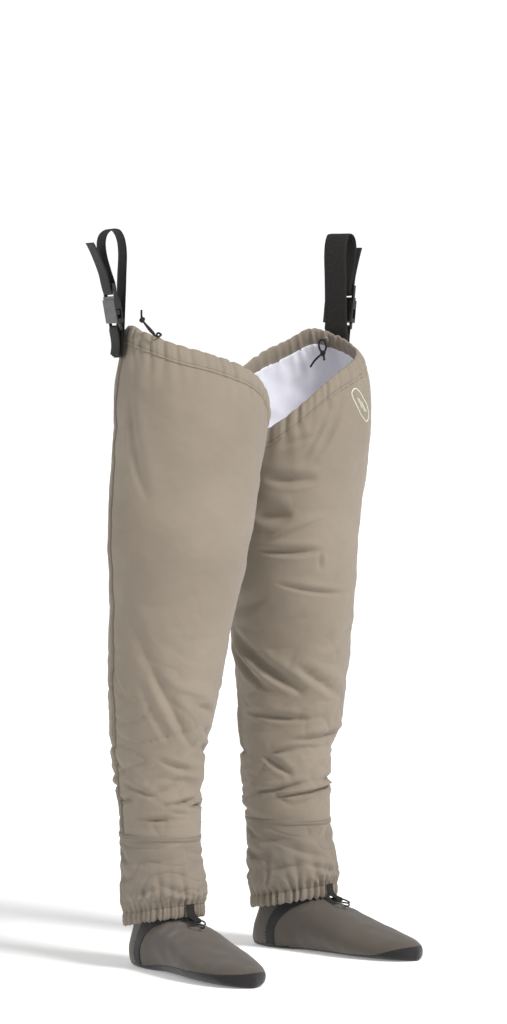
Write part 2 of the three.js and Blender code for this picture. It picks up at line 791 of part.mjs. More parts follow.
function buckleFrame() {
  const frame = new THREE.Group();
  frame.position.set(0, 8.9, 9);
  frame.rotation.x = -BUCKLE_TILT;
  return frame;
}

function strapAndBuckle(side) {
  const frame = strapFrame(side);
  const buckle = buckleFrame();
  frame.add(
    named(`${side}_belt_strap_inner`, strapInnerLimb(), webbing),
    named(`${side}_belt_strap_outer`, strapOuterLimb(), webbing),
    named(`${side}_buckle_tab`, buckleTab(), webbing),
    buckle,
  );
  buckle.add(
    named(`${side}_buckle_socket`, buckleFemale(), blackPlastic),
    named(`${side}_buckle_plug`, buckleMale(), blackPlastic),
    named(`${side}_buckle_prong_front`, buckleProng(1), blackPlastic),
    named(`${side}_buckle_prong_rear`, buckleProng(-1), blackPlastic),
  );
  return frame;
}

function footParts(side) {
  const frame = new THREE.Group();
  const [lateral, forward] = ankleCentre();
  const turn = FOOT_TURN[side];
  const backOfHeel = new THREE.Vector2(-Math.sin(turn), Math.cos(turn)).multiplyScalar(forward);
  frame.position.set(lateral + backOfHeel.x, HEEL_BACK_Y - forward + backOfHeel.y, 0);
  frame.rotation.z = turn;
  const look = {
    sock_sole: blackNeoprene,
    sock_vamp: neoprene,
    sock_heel: neoprene,
    sock_seam_tape: blackNeoprene,
    sock_heel_tape: blackNeoprene,
  };
  for (const [name, solid] of Object.entries(sockPieces())) {
    frame.add(named(`${side}_${name}`, solid, look[name]));
  }
  frame.add(
    named(`${side}_hook_tab`, hookTab(), webbing),
    named(`${side}_lace_hook`, laceHook(), blackWire),
  );
  return frame;
}

const ankleCentre = () => legAt(90);

function legParts(side) {
  const leg = new THREE.Group();
  leg.add(
    named(`${side}_leg_shell`, legShell(), shellCloth),
    named(`${side}_leg_lining`, legLining(), liningCloth),
    named(`${side}_top_hem`, topHem(CORD_EXIT[side]), shellCloth),
    named(`${side}_hem_eyelet`, hemEyelet(CORD_EXIT[side]), eyeletMetal),
    named(`${side}_cord_end`, cordEnd(side), cordCloth),
    named(`${side}_ankle_tape`, ankleTape(), blackNeoprene),
    named(`${side}_hem_cord`, hemCord(), cordCloth),
    named(`${side}_side_seam`, sideSeam(), shellCloth),
    named(`${side}_gravel_guard`, gravelGuard(), guardCloth),
    named(`${side}_guard_cuff`, guardCuff(), guardCloth),
    named(`${side}_guard_elastic`, guardElastic(), webbing),
    named(`${side}_calf_binding`, calfBinding(), guardCloth),
    footParts(side),
    strapAndBuckle(side),
  );
  return leg;
}

// The left strap stands out a little further than the right one, so the legs sit off the middle.
const PAIR_SHIFT = -4.9;
const pair = new THREE.Group();
const leftLeg = legParts("left");
leftLeg.add(named("left_thigh_label", thighLabel(), labelCloth));
const rightLeg = legParts("right");
rightLeg.scale.x = -1;
leftLeg.position.x = PAIR_SHIFT;
rightLeg.position.x = PAIR_SHIFT;
pair.add(leftLeg, rightLeg);

export default pair;
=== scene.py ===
"""A pair of stocking-foot hip waders, standing side by side as if worn.

Lengths below are millimetres unless a name says otherwise, and turn into metres where a mesh is made.
A place on a leg is an angle round it (0 outer side, 90 front, 180 inner side, -90 back) and a height.
Every leg piece is worked out in left-leg form, mirrored in X for the right leg, and shifted with the pair.
"""

import math

import bpy
import numpy as np
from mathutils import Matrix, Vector


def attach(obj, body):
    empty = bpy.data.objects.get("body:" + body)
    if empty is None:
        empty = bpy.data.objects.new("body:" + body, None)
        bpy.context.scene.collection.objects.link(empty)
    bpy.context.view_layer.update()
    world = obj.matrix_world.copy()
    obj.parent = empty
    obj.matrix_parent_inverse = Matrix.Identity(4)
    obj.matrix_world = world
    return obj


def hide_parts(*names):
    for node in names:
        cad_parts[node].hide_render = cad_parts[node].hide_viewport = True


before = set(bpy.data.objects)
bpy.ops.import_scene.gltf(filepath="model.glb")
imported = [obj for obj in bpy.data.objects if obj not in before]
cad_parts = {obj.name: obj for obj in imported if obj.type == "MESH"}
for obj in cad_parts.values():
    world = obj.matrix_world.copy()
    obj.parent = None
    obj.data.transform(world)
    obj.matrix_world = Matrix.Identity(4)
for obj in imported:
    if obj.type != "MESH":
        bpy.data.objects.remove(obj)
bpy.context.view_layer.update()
MM = 0.001
SIDES = ("left", "right")

# ---------------------------------------------------------------- camera
CAMERA_AZIMUTH = math.radians(-49)
CAMERA_DISTANCE = 5.77
CAMERA_HEIGHT = 0.85
CAMERA_TILT = math.radians(1.87)
CAMERA_LENS = 138.5
AIM_RIGHT = -0.022  # the camera aims this far to the right of the origin, in metres


def make_camera():
    ahead = Vector((-math.sin(CAMERA_AZIMUTH), math.cos(CAMERA_AZIMUTH), 0))
    right = Vector((math.cos(CAMERA_AZIMUTH), math.sin(CAMERA_AZIMUTH), 0))
    data = bpy.data.cameras.new("camera")
    data.lens = CAMERA_LENS
    data.sensor_width = 36
    data.clip_end = 100
    cam = bpy.data.objects.new("camera", data)
    bpy.context.scene.collection.objects.link(cam)
    cam.location = right * AIM_RIGHT - ahead * CAMERA_DISTANCE + Vector((0, 0, CAMERA_HEIGHT))
    look = ahead * math.cos(CAMERA_TILT) - Vector((0, 0, math.sin(CAMERA_TILT)))
    cam.rotation_mode = "QUATERNION"
    cam.rotation_quaternion = look.to_track_quat("-Z", "Y")
    bpy.context.scene.camera = cam


make_camera()

# ---------------------------------------------------------------- the leg as a surface
HEEL_BACK_Y = 137.5
PAIR_SHIFT = -4.9
TOE_OUT = math.radians(9)  # how far the legs' ovals turn outwards
RIM_OUTER_HEIGHT = 925
RIM_INNER_HEIGHT = 762
RIM_DIP_SOFTNESS = 0.12
HEM_HEIGHT = 26
CALF_SEAM_HEIGHT = 190
CUFF_HEIGHT = 20
CUFF_FRONT_BOTTOM = 82
CUFF_BACK_BOTTOM = 58
LEG_STATIONS = [
    [60, 145.3, 68, 41, 54],
    [110, 145.3, 68, 41, 54],
    [152, 145.2, 67.5, 42, 55],
    [186, 143.5, 58, 51.6, 66.4],
    [215, 143, 56, 54, 68],
    [300, 143, 54, 62, 73],
    [373, 143, 61, 70, 84],
    [467, 137, 66, 82, 92],
    [560, 130, 75, 96, 98],
    [680, 124, 86, 110, 102],
    [790, 121.5, 98, 116, 104],
    [865, 121.5, 98, 112, 99],
    [905, 121.5, 90, 98, 88],
    [945, 122, 84, 86, 78],
]
GUARD_STATIONS = [
    [0, 145.4, 67, 50.5, 67.2],
    [0.14, 144.4, 66.5, 56.5, 71.5],
    [0.35, 143.8, 64, 56.5, 71],
    [0.75, 143.2, 59, 53.5, 68.5],
    [1, 143, 57, 52.4, 67.2],
]


def smooth_table(rows):
    """A smooth curve through rows of numbers, looked up by each row's first number."""
    rows = np.array(rows, float)
    keys, values = rows[:, 0], rows[:, 1:]
    last = len(keys) - 1

    def at(key):
        key = np.clip(np.asarray(key, float), keys[0], keys[-1])
        i = np.clip(np.searchsorted(keys, key, side="right"), 1, last)
        low, high = keys[i - 1], keys[i]
        before = np.where(i >= 2, i - 2, i)
        after = np.where(i < last, i + 1, i - 1)
        half = (high - low) / 2
        w0 = half / (low - keys[before])
        w1 = half / (keys[np.minimum(after, last)] - high)
        p = (key - low) / (high - low)
        p2, p3 = p * p, p * p * p
        parts = [
            (before, -w0 * p3 + 2 * w0 * p2 - w0 * p),
            (i - 1, (1 + w0) * p3 + (-1.5 - 2 * w0) * p2 + (-0.5 + w0) * p + 1),
            (i, (-1 - w1) * p3 + (1.5 + w1) * p2 + 0.5 * p),
            (after, w1 * p3 - w1 * p2),
        ]
        return sum(weight[..., None] * values[index] for index, weight in parts)

    return at


leg_table = smooth_table(LEG_STATIONS)
guard_table = smooth_table(GUARD_STATIONS)


def cuff_bottom(angle):
    middle = (CUFF_FRONT_BOTTOM + CUFF_BACK_BOTTOM) / 2
    return middle + (CUFF_FRONT_BOTTOM - CUFF_BACK_BOTTOM) / 2 * np.sin(angle)


def guard_at(height, angle):
    bottom = cuff_bottom(angle) + CUFF_HEIGHT
    return guard_table((height - bottom) / (CALF_SEAM_HEIGHT - bottom))


def cuff_at(height, angle):
    return np.broadcast_to(np.array(GUARD_STATIONS[0][1:]), np.shape(height) + (4,))


def leg_at(height, angle):
    return leg_table(height)


def oval(where, angle, height, offset):
    """Points on the oval round a leg, as an array of x, y, z in left-leg form."""
    angle, height, offset = np.broadcast_arrays(
        np.asarray(angle, float), np.asarray(height, float), np.asarray(offset, float)
    )
    lateral, forward, width, depth = np.moveaxis(where(height, angle), -1, 0)
    across = (width + offset) * np.cos(angle)
    ahead = (depth + offset) * np.sin(angle)
    x = lateral + across * math.cos(TOE_OUT) + ahead * math.sin(TOE_OUT)
    f = forward - across * math.sin(TOE_OUT) + ahead * math.cos(TOE_OUT)
    return np.stack([x, HEEL_BACK_Y - f, height], axis=-1)


# Where the rim leaves its slanting line: place round the leg and half spread in degrees, rise in mm.
RIM_BUMPS = [(-16, 20, 10), (45, 26, -7), (118, 28, 12)]


def rim_height(angle):
    lift = np.hypot(np.cos(np.asarray(angle) / 2), RIM_DIP_SOFTNESS) / math.hypot(1, RIM_DIP_SOFTNESS)
    height = RIM_INNER_HEIGHT + (RIM_OUTER_HEIGHT - RIM_INNER_HEIGHT) * lift
    for at, spread, rise in RIM_BUMPS:
        gap = (np.degrees(angle) - at + 180) % 360 - 180
        height = height + rise * np.exp(-((gap / spread) ** 2))
    return height


def hem_bottom(angle):
    return rim_height(angle) - HEM_HEIGHT


# ---------------------------------------------------------------- mesh and piece helpers
def mirrored(points, side):
    points = np.array(points, float)
    if side == "right":
        points[..., 0] *= -1
    points[..., 0] += PAIR_SHIFT
    return points


def make_object(name, points, faces, side, uv=None):
    """A mesh object from points in left-leg form and mm."""
    verts = mirrored(points, side) * MM
    if side == "right":
        faces = [tuple(reversed(f)) for f in faces]
    mesh = bpy.data.meshes.new(name)
    mesh.from_pydata(verts.tolist(), [], faces)
    if uv is not None:
        layer = mesh.uv_layers.new(name="weave")
        loops = np.empty(len(mesh.loops), int)
        mesh.loops.foreach_get("vertex_index", loops)
        layer.data.foreach_set("uv", (np.asarray(uv)[loops] * MM).astype(np.float32).ravel())
    mesh.polygons.foreach_set("use_smooth", [True] * len(mesh.polygons))
    mesh.update()
    return link(bpy.data.objects.new(name, mesh))


def grid_faces(rows, columns, wrap_rows=False, flip=False):
    """Faces of a grid that is closed round its columns, and round its rows too if asked."""
    faces = []
    for r in range(rows if wrap_rows else rows - 1):
        here, above = r * columns, (r + 1) % rows * columns
        for c in range(columns):
            turn = (c + 1) % columns
            a, b, d, e = here + c, here + turn, above + c, above + turn
            faces.append((a, d, e, b) if flip else (a, b, e, d))
    return faces


def end_caps(rows, columns):
    """The two end faces of a closed bar made of rings."""
    last = (rows - 1) * columns
    return [tuple(range(columns)), tuple(last + k for k in reversed(range(columns)))]


def link(obj):
    bpy.context.scene.collection.objects.link(obj)
    return obj


def piece(obj, body, slot, material, *nodes):
    """Puts a finished piece on its body, with its material and the CAD nodes it stands for."""
    obj.data.materials.clear()
    obj.data.materials.append(material)
    if nodes:
        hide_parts(*nodes)
    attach(obj, body)
    return obj


def thicken(obj, thickness):
    """Gives a sheet its thickness, inwards from its outer face."""
    modifier = obj.modifiers.new("thickness", "SOLIDIFY")
    modifier.thickness = thickness * MM
    modifier.offset = -1.0
    modifier.use_even_offset = False


def rng_for(name):
    return np.random.default_rng(sum(ord(c) * (i + 1) for i, c in enumerate(name)))


# ---------------------------------------------------------------- materials
class Surface:
    """A procedural material in the making. Its noises run in the piece's own space."""

    def __init__(self, name):
        self.material = bpy.data.materials.new(name)
        self.material.use_nodes = True
        self.nodes = self.material.node_tree.nodes
        self.links = self.material.node_tree.links
        self.shader = self.nodes["Principled BSDF"]
        self.space = self.nodes.new("ShaderNodeTexCoord").outputs["Object"]

    def set(self, **values):
        """Plain numbers for the shader's inputs, named with _ for each space."""
        for name, value in values.items():
            self.shader.inputs[name.replace("_", " ")].default_value = value

    def calc(self, operation, *values):
        """A math node over sockets and plain numbers."""
        node = self.nodes.new("ShaderNodeMath")
        node.operation = operation
        for socket, value in zip(node.inputs, values):
            if isinstance(value, float):
                socket.default_value = value
            else:
                self.links.new(value, socket)
        return node.outputs[0]

    def noise(self, scale, detail=3, rough=0.5):
        node = self.nodes.new("ShaderNodeTexNoise")
        for name, value in (("Scale", scale), ("Detail", detail), ("Roughness", rough)):
            node.inputs[name].default_value = value
        self.links.new(self.space, node.inputs["Vector"])
        return node.outputs

    def weave(self, pitch):
        """Crossed threads of a plain weave: the product of two waves, along and across."""
        uv = self.nodes.new("ShaderNodeUVMap")
        uv.uv_map = "weave"
        split = self.nodes.new("ShaderNodeSeparateXYZ")
        self.links.new(uv.outputs["UV"], split.inputs[0])
        turns = math.pi / (pitch * MM)
        waves = [self.calc("SINE", self.calc("MULTIPLY", split.outputs[axis], turns)) for axis in "XY"]
        return self.calc("MULTIPLY", *waves)

    def colour(self, value, low, dark, high, light, speckle=None, strength=0.0):
        """Base colour from dark to light along value, with a speckle laid over it when there is one."""
        node = self.nodes.new("ShaderNodeValToRGB")
        for element, (place, shade) in zip(node.color_ramp.elements, ((low, dark), (high, light))):
            element.position = place
            element.color = (*shade, 1)
        self.links.new(value, node.inputs["Fac"])
        tone = node.outputs["Color"]
        if speckle is not None:
            fleck = self.nodes.new("ShaderNodeMix")
            fleck.data_type = "RGBA"
            fleck.blend_type = "OVERLAY"
            fleck.inputs["Factor"].default_value = strength
            self.links.new(tone, fleck.inputs["A"])
            self.links.new(speckle, fleck.inputs["B"])
            tone = fleck.outputs["Result"]
        self.links.new(tone, self.shader.inputs["Base Color"])

    def bumps(self, *heights):
        """Bumps one on another: (height socket, distance in mm, strength)."""
        normal = None
        for height, distance, strength in heights:
            bump = self.nodes.new("ShaderNodeBump")
            bump.inputs["Distance"].default_value = distance * MM
            bump.inputs["Strength"].default_value = strength
            self.links.new(height, bump.inputs["Height"])
            if normal is not None:
                self.links.new(normal, bump.inputs["Normal"])
            normal = bump.outputs["Normal"]
        self.links.new(normal, self.shader.inputs["Normal"])


def cloth_material(name, dark, light, roughness=0.8, sheen=0.15, pitch=0.5):
    cloth = Surface(name)
    fine = cloth.noise(900, 2)
    cloth.colour(cloth.noise(9)["Fac"], 0.3, dark, 0.7, light, fine["Color"], 0.16)
    cloth.set(Roughness=roughness, Sheen_Weight=sheen, Sheen_Roughness=0.5, Specular_IOR_Level=0.3)
    rumple = cloth.noise(60, 4, 0.55)["Fac"]
    cloth.bumps((rumple, 0.8, 0.25), (fine["Fac"], 0.15, 0.35), (cloth.weave(pitch), 0.12, 0.5))
    return cloth.material


def plastic_material(name, colour):
    """Moulded plastic, a little mottled in its gloss."""
    plastic = Surface(name)
    mottle = plastic.noise(120)["Fac"]
    plastic.colour(mottle, 0.3, [c * 0.8 for c in colour], 0.7, [c * 1.25 for c in colour])
    gloss = plastic.nodes.new("ShaderNodeMapRange")
    gloss.inputs["To Min"].default_value = 0.27
    gloss.inputs["To Max"].default_value = 0.47
    plastic.links.new(mottle, gloss.inputs["Value"])
    plastic.links.new(gloss.outputs["Result"], plastic.shader.inputs["Roughness"])
    plastic.bumps((plastic.noise(1500, 2)["Fac"], 0.1, 0.4))
    return plastic.material


def webbing_material(name, dark, light, rib=1.6):
    """Ribbed nylon: herringbone-like ribs from the piece's own along and across lengths."""
    webbing = Surface(name)
    ribs = webbing.weave(rib)
    fuzz = webbing.noise(700)["Fac"]
    webbing.colour(webbing.calc("MULTIPLY_ADD", ribs, 0.35, fuzz), 0.25, dark, 0.8, light)
    webbing.set(Roughness=0.7, Sheen_Weight=0.02, Specular_IOR_Level=0.35)
    webbing.bumps((ribs, 0.5, 0.8), (fuzz, 0.25, 0.4))
    return webbing.material


def neoprene_material(name, dark, light):
    neoprene = Surface(name)
    knit = neoprene.noise(1400, 2)
    neoprene.colour(neoprene.noise(14, 4)["Fac"], 0.3, dark, 0.7, light, knit["Color"], 0.3)
    neoprene.set(Roughness=0.85, Sheen_Weight=0.3, Specular_IOR_Level=0.25)
    neoprene.bumps((neoprene.noise(45)["Fac"], 1.0, 0.3), (knit["Fac"], 0.3, 0.6))
    return neoprene.material


def metal_material(name, colour, roughness):
    metal = Surface(name)
    wear = metal.noise(300, 4)["Fac"]
    metal.colour(wear, 0.3, [c * 0.7 for c in colour], 0.7, colour)
    metal.set(Metallic=0.9, Roughness=roughness)
    metal.bumps((wear, 0.05, 0.3))
    return metal.material


SHELL = cloth_material("shell_cloth", (0.236, 0.196, 0.151), (0.268, 0.224, 0.175))
# Guard cloth: the shell's colour set about 15 percent darker as painted shade for the dimmer light low on
# the leg. It also colours the cuff and the calf binding.
GUARD = cloth_material("guard_cloth", (0.200, 0.167, 0.131), (0.228, 0.191, 0.151))
LINING = cloth_material("lining_cloth", (0.75, 0.745, 0.81), (0.83, 0.825, 0.89), roughness=0.6, pitch=0.4)
LABEL = cloth_material("label_thread", (0.62, 0.62, 0.50), (0.74, 0.74, 0.60), sheen=0.4)
NEOPRENE = neoprene_material("neoprene", (0.074, 0.061, 0.049), (0.093, 0.078, 0.063))
BLACK_NEOPRENE = neoprene_material("black_neoprene", (0.010, 0.009, 0.009), (0.018, 0.016, 0.016))
WEBBING = webbing_material("webbing", (0.006, 0.005, 0.005), (0.016, 0.014, 0.012))
CORD = webbing_material("cord", (0.007, 0.006, 0.006), (0.020, 0.018, 0.016), rib=0.9)
PLASTIC = plastic_material("black_plastic", (0.010, 0.010, 0.009))
WIRE = metal_material("black_wire", (0.05, 0.05, 0.05), 0.35)
EYELET = metal_material("eyelet_metal", (0.45, 0.44, 0.42), 0.3)
THREAD = cloth_material("seam_thread", (0.13, 0.108, 0.082), (0.165, 0.138, 0.105), pitch=0.3)
SEAM = cloth_material("seam_strip", (0.190, 0.158, 0.122), (0.218, 0.183, 0.143))

# ---------------------------------------------------------------- the free ends of the hem cords
# Places on a cord's route, from its exit: mm round the leg, up from the rim, and out from the leg's oval.
CORD_DIAMETER = 3
CORD_EXIT = {"left": math.radians(2), "right": math.radians(22)}
CORD_TAILS = {
    "right": [
        [0, -13, -9],
        [-1, 0, -8.5],
        [-4, 6, -3],
        [-9, 12, 4],
        [-13, 18, 9],
        [-13.5, 24, 10],
        [-13, 32, 10.5],
    ],
    "left": [
        [0, -13, -9],
        [5.5, -14.5, -11],
        [9.5, -20, -12],
        [8, -27, -12.5],
        [1.5, -33, -12.5],
        [-9, -41, -12],
        [-20, -50, -11],
        [-29, -59, -10],
    ],
}
CORD_LOOPS = {
    "right": [
        [2, -10, -11.5],
        [4, 2, -8.6],
        [9, 5.5, -6],
        [15, 5, -4],
        [13, 1.5, 6.5],
        [4, 5, 9],
        [-12, 17, 9],
    ],
    "left": [
        [-1, -13, -9.5],
        [-6, -16, -11],
        [-8, -22.5, -12],
        [-5, -29, -12.5],
        [1.5, -33, -12.5],
        [5, -38, -12.5],
        [5.5, -43, -12.5],
    ],
}
CORD_KNOTS = {"right": [-13, 18, 9], "left": [1.5, -33, -12.5]}


def near_exit(angle, place):
    around, up, offset = place
    there = angle + around / 105
    point = oval(leg_at, there, rim_height(there), offset)
    point[2] += up
    return point


def catmull(points, count):
    """A centripetal curve through points, sampled evenly by its own parameter."""
    points = np.array(points, float)
    ends = [2 * points[0] - points[1], *points, 2 * points[-1] - points[-2]]
    out = []
    for p0, p1, p2, p3 in zip(ends, ends[1:], ends[2:], ends[3:]):
        t = [0.0]
        for a, b in ((p0, p1), (p1, p2), (p2, p3)):
            t.append(t[-1] + max(np.linalg.norm(b - a), 1e-6) ** 0.5)
        for s in np.linspace(t[1], t[2], count, endpoint=False):
            a1 = ((t[1] - s) * p0 + (s - t[0]) * p1) / (t[1] - t[0])
            a2 = ((t[2] - s) * p1 + (s - t[1]) * p2) / (t[2] - t[1])
            a3 = ((t[3] - s) * p2 + (s - t[2]) * p3) / (t[3] - t[2])
            b1 = ((t[2] - s) * a1 + (s - t[0]) * a2) / (t[2] - t[0])
            b2 = ((t[3] - s) * a2 + (s - t[1]) * a3) / (t[3] - t[1])
            out.append(((t[2] - s) * b1 + (s - t[1]) * b2) / (t[2] - t[1]))
    return np.array([*out, points[-1]])


def tube(name, path, radius, side, sides=12):
    """A closed round tube along a path."""
    path = np.array(path, float)
    along = np.gradient(path, axis=0)
    along /= np.linalg.norm(along, axis=1)[:, None]
    up = np.cross(along[0], [0.3, 0.5, 0.8])
    points, uv = [], []
    run = np.concatenate([[0], np.cumsum(np.linalg.norm(np.diff(path, axis=0), axis=1))])
    for i, (centre, tangent) in enumerate(zip(path, along)):
        up = up - tangent * np.dot(up, tangent)
        up /= np.linalg.norm(up)
        other = np.cross(tangent, up)
        for k in range(sides):
            turn = 2 * math.pi * k / sides
            points.append(centre + radius * (up * math.cos(turn) + other * math.sin(turn)))
            uv.append((run[i], k / sides * 2 * math.pi * radius))
    faces = grid_faces(len(path), sides)
    first, last = len(points), len(points) + 1
    points += [path[0], path[-1]]
    uv += [(0, 0), (run[-1], 0)]
    start = (len(path) - 1) * sides
    faces += [(first, (k + 1) % sides, k) for k in range(sides)]
    faces += [(last, start + k, start + (k + 1) % sides) for k in range(sides)]
    return make_object(name, points, faces, side, uv)


def knot_ball(name, centre, radius, side):
    """A small overhand knot: a lumpy round of crossing strands."""
    points, uv = [], []
    rings, around = 14, 20
    for r in range(rings):
        lat = math.pi * (r + 0.5) / rings
        for k in range(around):
            lon = 2 * math.pi * k / around
            wrap = 1 + 0.13 * math.sin(3 * lon + 2.2 * lat) + 0.07 * math.sin(5 * lat - lon)
            out = np.array([math.sin(lat) * math.cos(lon), math.sin(lat) * math.sin(lon), math.cos(lat)])
            points.append(centre + out * radius * wrap)
            uv.append((lon * radius, lat * radius))
    faces = grid_faces(rings, around, flip=True)
    top, bottom = len(points), len(points) + 1
    points += [centre + np.array([0, 0, radius]), centre - np.array([0, 0, radius])]
    uv += [(0, 0), (0, radius * math.pi)]
    faces += [(top, k, (k + 1) % around) for k in range(around)]
    start = (rings - 1) * around
    faces += [(bottom, start + (k + 1) % around, start + k) for k in range(around)]
    return make_object(name, points, faces, side, uv)


def make_cord(side):
    body = f"{side}_wader"
    angle = CORD_EXIT[side]
    knot = knot_ball(f"{side}_cord_knot", near_exit(angle, CORD_KNOTS[side]), 4.0, side)
    piece(knot, body, "cord", CORD)
    for kind, routes in (("tail", CORD_TAILS), ("loop", CORD_LOOPS)):
        path = catmull([near_exit(angle, place) for place in routes[side]], 5)
        strand = tube(f"{side}_cord_{kind}", path, CORD_DIAMETER / 2, side)
        piece(strand, body, "cord", CORD, f"{side}_cord_end")
        route = mirrored(path, side) * MM


for side in SIDES:
    make_cord(side)

# ---------------------------------------------------------------- folds in the cloth
# Each fold: angle round the leg (degrees), height, slope (degrees, rising with the angle), length,
# width, depth (a negative depth is a ridge), bend of its line.
FOLDS = {
    "right": [
        (10, 760, -75, 170, 16, 4, 0.1),
        (52, 700, 8, 160, 75, 2.6, 0.1),
        (74, 610, -6, 150, 80, -3, 0.1),
        (45, 540, 12, 150, 70, 2.6, 0.1),
        (22, 470, -62, 150, 18, 2.2, 0),
        (58, 383, -58, 150, 15, 4.2, 0.08),
        (38, 375, -60, 110, 12, 2, 0.05),
        (100, 381, -15, 50, 9, 4.2, 0),
        (82, 408, -17, 105, 18, -3, 0.1),
        (77, 297, -15, 80, 9, 3.8, 0.1),
        (85, 246, 6, 84, 6, 6, 0),
        (113, 240, 0, 60, 6, 7, 0),
        (77, 230, -5, 34, 5, 3, 0),
        (47, 221, 0, 88, 6, 4, 0),
        (60, 268, 24, 70, 9, 3, 0.1),
        (20, 262, -20, 66, 8, 3.4, 0),
        (-8, 248, 6, 44, 6, 3.5, 0),
        (-16, 300, -30, 50, 9, 2.4, 0),
        (112, 283, -4, 70, 34, -5, 0),
        (130, 318, -18, 62, 10, 4, 0.1),
        (118, 345, -20, 70, 12, 3, 0.1),
        (96, 330, 30, 60, 12, 2.4, 0),
    ],
    "left": [
        (148, 765, -18, 60, 10, 5, 0),
        (118, 795, -67, 145, 9, 4, 0.14),
        (128, 795, -68, 110, 8, 3, 0.1),
        (150, 708, 0, 84, 14, 6, 0.06),
        (165, 655, 0, 64, 22, 7, 0.05),
        (145, 641, -20, 94, 12, -4, 0),
        (150, 602, 0, 104, 10, 6, 0.06),
        (124, 588, 90, 28, 7, 3, 0),
        (127, 544, 8, 128, 7, 4, 0.08),
        (180, 433, 39, 160, 15, 8, 0.08),
        (208, 427, 39, 118, 12, 6, 0.05),
        (194, 430, 39, 120, 14, -3, 0.06),
        (168, 353, 5, 108, 9, 5, 0.05),
        (113, 402, 28, 112, 15, 5, 0.08),
        (105, 322, -5, 118, 9, 5, 0.04),
        (66, 336, 0, 60, 40, -5, 0),
        (156, 301, -7, 68, 8, 3, 0.05),
        (165, 280, 34, 58, 10, 5, 0),
        (158, 246, -12, 98, 7, 5, 0.05),
        (112, 240, -8, 124, 5.5, 8, 0.02),
        (76, 256, 0, 70, 7, 6, 0),
        (225, 335, 85, 125, 8, -3, 0),
        (96, 470, -22, 90, 16, 2.6, 0.1),
        (200, 520, -14, 110, 20, 3, 0.1),
        (215, 610, 10, 90, 22, 3, 0),
    ],
}
UNSEEN = {"right": (150, 310), "left": (250, 405)}  # the range of angles that the list above leaves out


def random_folds(side):
    """Folds for the sides of the leg that the list leaves out: many low down, few on the thigh."""
    random = rng_for(side + "folds")
    first, last = UNSEEN[side]
    zones = [
        (205, 290, 12, (50, 110), (6, 10), (3, 6), 18),
        (290, 420, 10, (60, 130), (9, 15), (3, 6), 32),
        (420, 600, 8, (80, 150), (12, 22), (3, 5.5), 30),
        (600, 780, 6, (90, 160), (18, 36), (2, 4), 40),
    ]
    folds = []
    for low, high, count, lengths, widths, depths, slope in zones:
        for i in range(count):
            angle = first + (last - first) * (i % 4 + random.uniform(0.1, 0.9)) / 4
            height = low + (high - low) * (i + random.uniform(0, 1)) / count
            lean = random.normal(0, slope * 0.7)
            sizes = [random.uniform(*span) for span in (lengths, widths, depths, (-0.1, 0.12))]
            folds.append((angle, height, lean, *sizes))
    return folds


def fold_depth(angle, height, fold):
    """How far one fold moves the cloth outwards, at arrays of places."""
    at, level, slope, length, width, depth, bend = fold
    middle = leg_table(level)
    reach = (middle[2] + middle[3]) / 2
    turn = (angle - math.radians(at) + math.pi) % (2 * math.pi) - math.pi
    around = turn * reach
    up = height - level
    slope = math.radians(slope)
    along = (around * math.cos(slope) + up * math.sin(slope)) / (length / 2)
    across = -around * math.sin(slope) + up * math.cos(slope) - bend * length / 2 * (along**2 - 0.4)
    fade = np.clip(1 - along**2, 0, 1)
    q = across / (width / 2 * (0.45 + 0.55 * np.sqrt(fade)))
    q = np.where(q > 0, q * 0.85, q * 1.25)
    if depth < 0:
        return -depth * fade * np.exp(-np.abs(q) ** 2)
    lips = np.exp(-(((q - 2.1) / 1.1) ** 2)) + 0.7 * np.exp(-(((q + 2.0) / 0.9) ** 2))
    return depth * fade * (0.34 * lips - np.exp(-np.abs(q) ** 1.5))


WAVE_COUNT = 14


def waves(points, wavelength, seed):
    """Smooth seeded noise from -1 to 1 or so: a sum of plane waves."""
    random = np.random.default_rng(seed)
    total = np.zeros(points.shape[:-1])
    for _ in range(WAVE_COUNT):
        direction = random.normal(size=3)
        direction /= np.linalg.norm(direction)
        pitch = wavelength * random.uniform(0.75, 1.35)
        total += np.sin(points @ direction * 2 * math.pi / pitch + random.uniform(0, 2 * math.pi))
    return total / math.sqrt(WAVE_COUNT / 2) / 1.6


def crumple(points, wavelength, seed):
    """Crumpled cloth: sharp valleys that run mostly across the leg, with rounded cloth between them."""
    bent = points + 9 * np.stack([waves(points, 90, seed + k) for k in range(3)], axis=-1)
    field = waves(bent * [0.7, 0.7, 1.5], wavelength, seed + 5)
    return 0.35 - np.exp(-np.abs(field) / 0.16)


def smooth_step(low, high, value):
    t = np.clip((np.asarray(value, float) - low) / (high - low), 0, 1)
    return t * t * (3 - 2 * t)


def spaced_marks(random, low, high, around):
    """Marks round a closed line, a random distance apart."""
    marks, place = [], 0.0
    while place < around - low * 0.6:
        marks.append(place)
        place += random.uniform(low, high)
    return np.array(marks) * around / place


GATHERS = {}
for hem_side in SIDES:
    gather_random = rng_for(hem_side + "gathers")
    gather_marks = spaced_marks(gather_random, 15, 28, 2 * math.pi * 105)
    GATHERS[hem_side] = [
        (
            mark,
            gather_random.uniform(2.6, 4.6),
            gather_random.uniform(0.7, 1.9),
            gather_random.uniform(24, 70),
            gather_random.normal(0, 0.16),
        )
        for mark in gather_marks
    ]


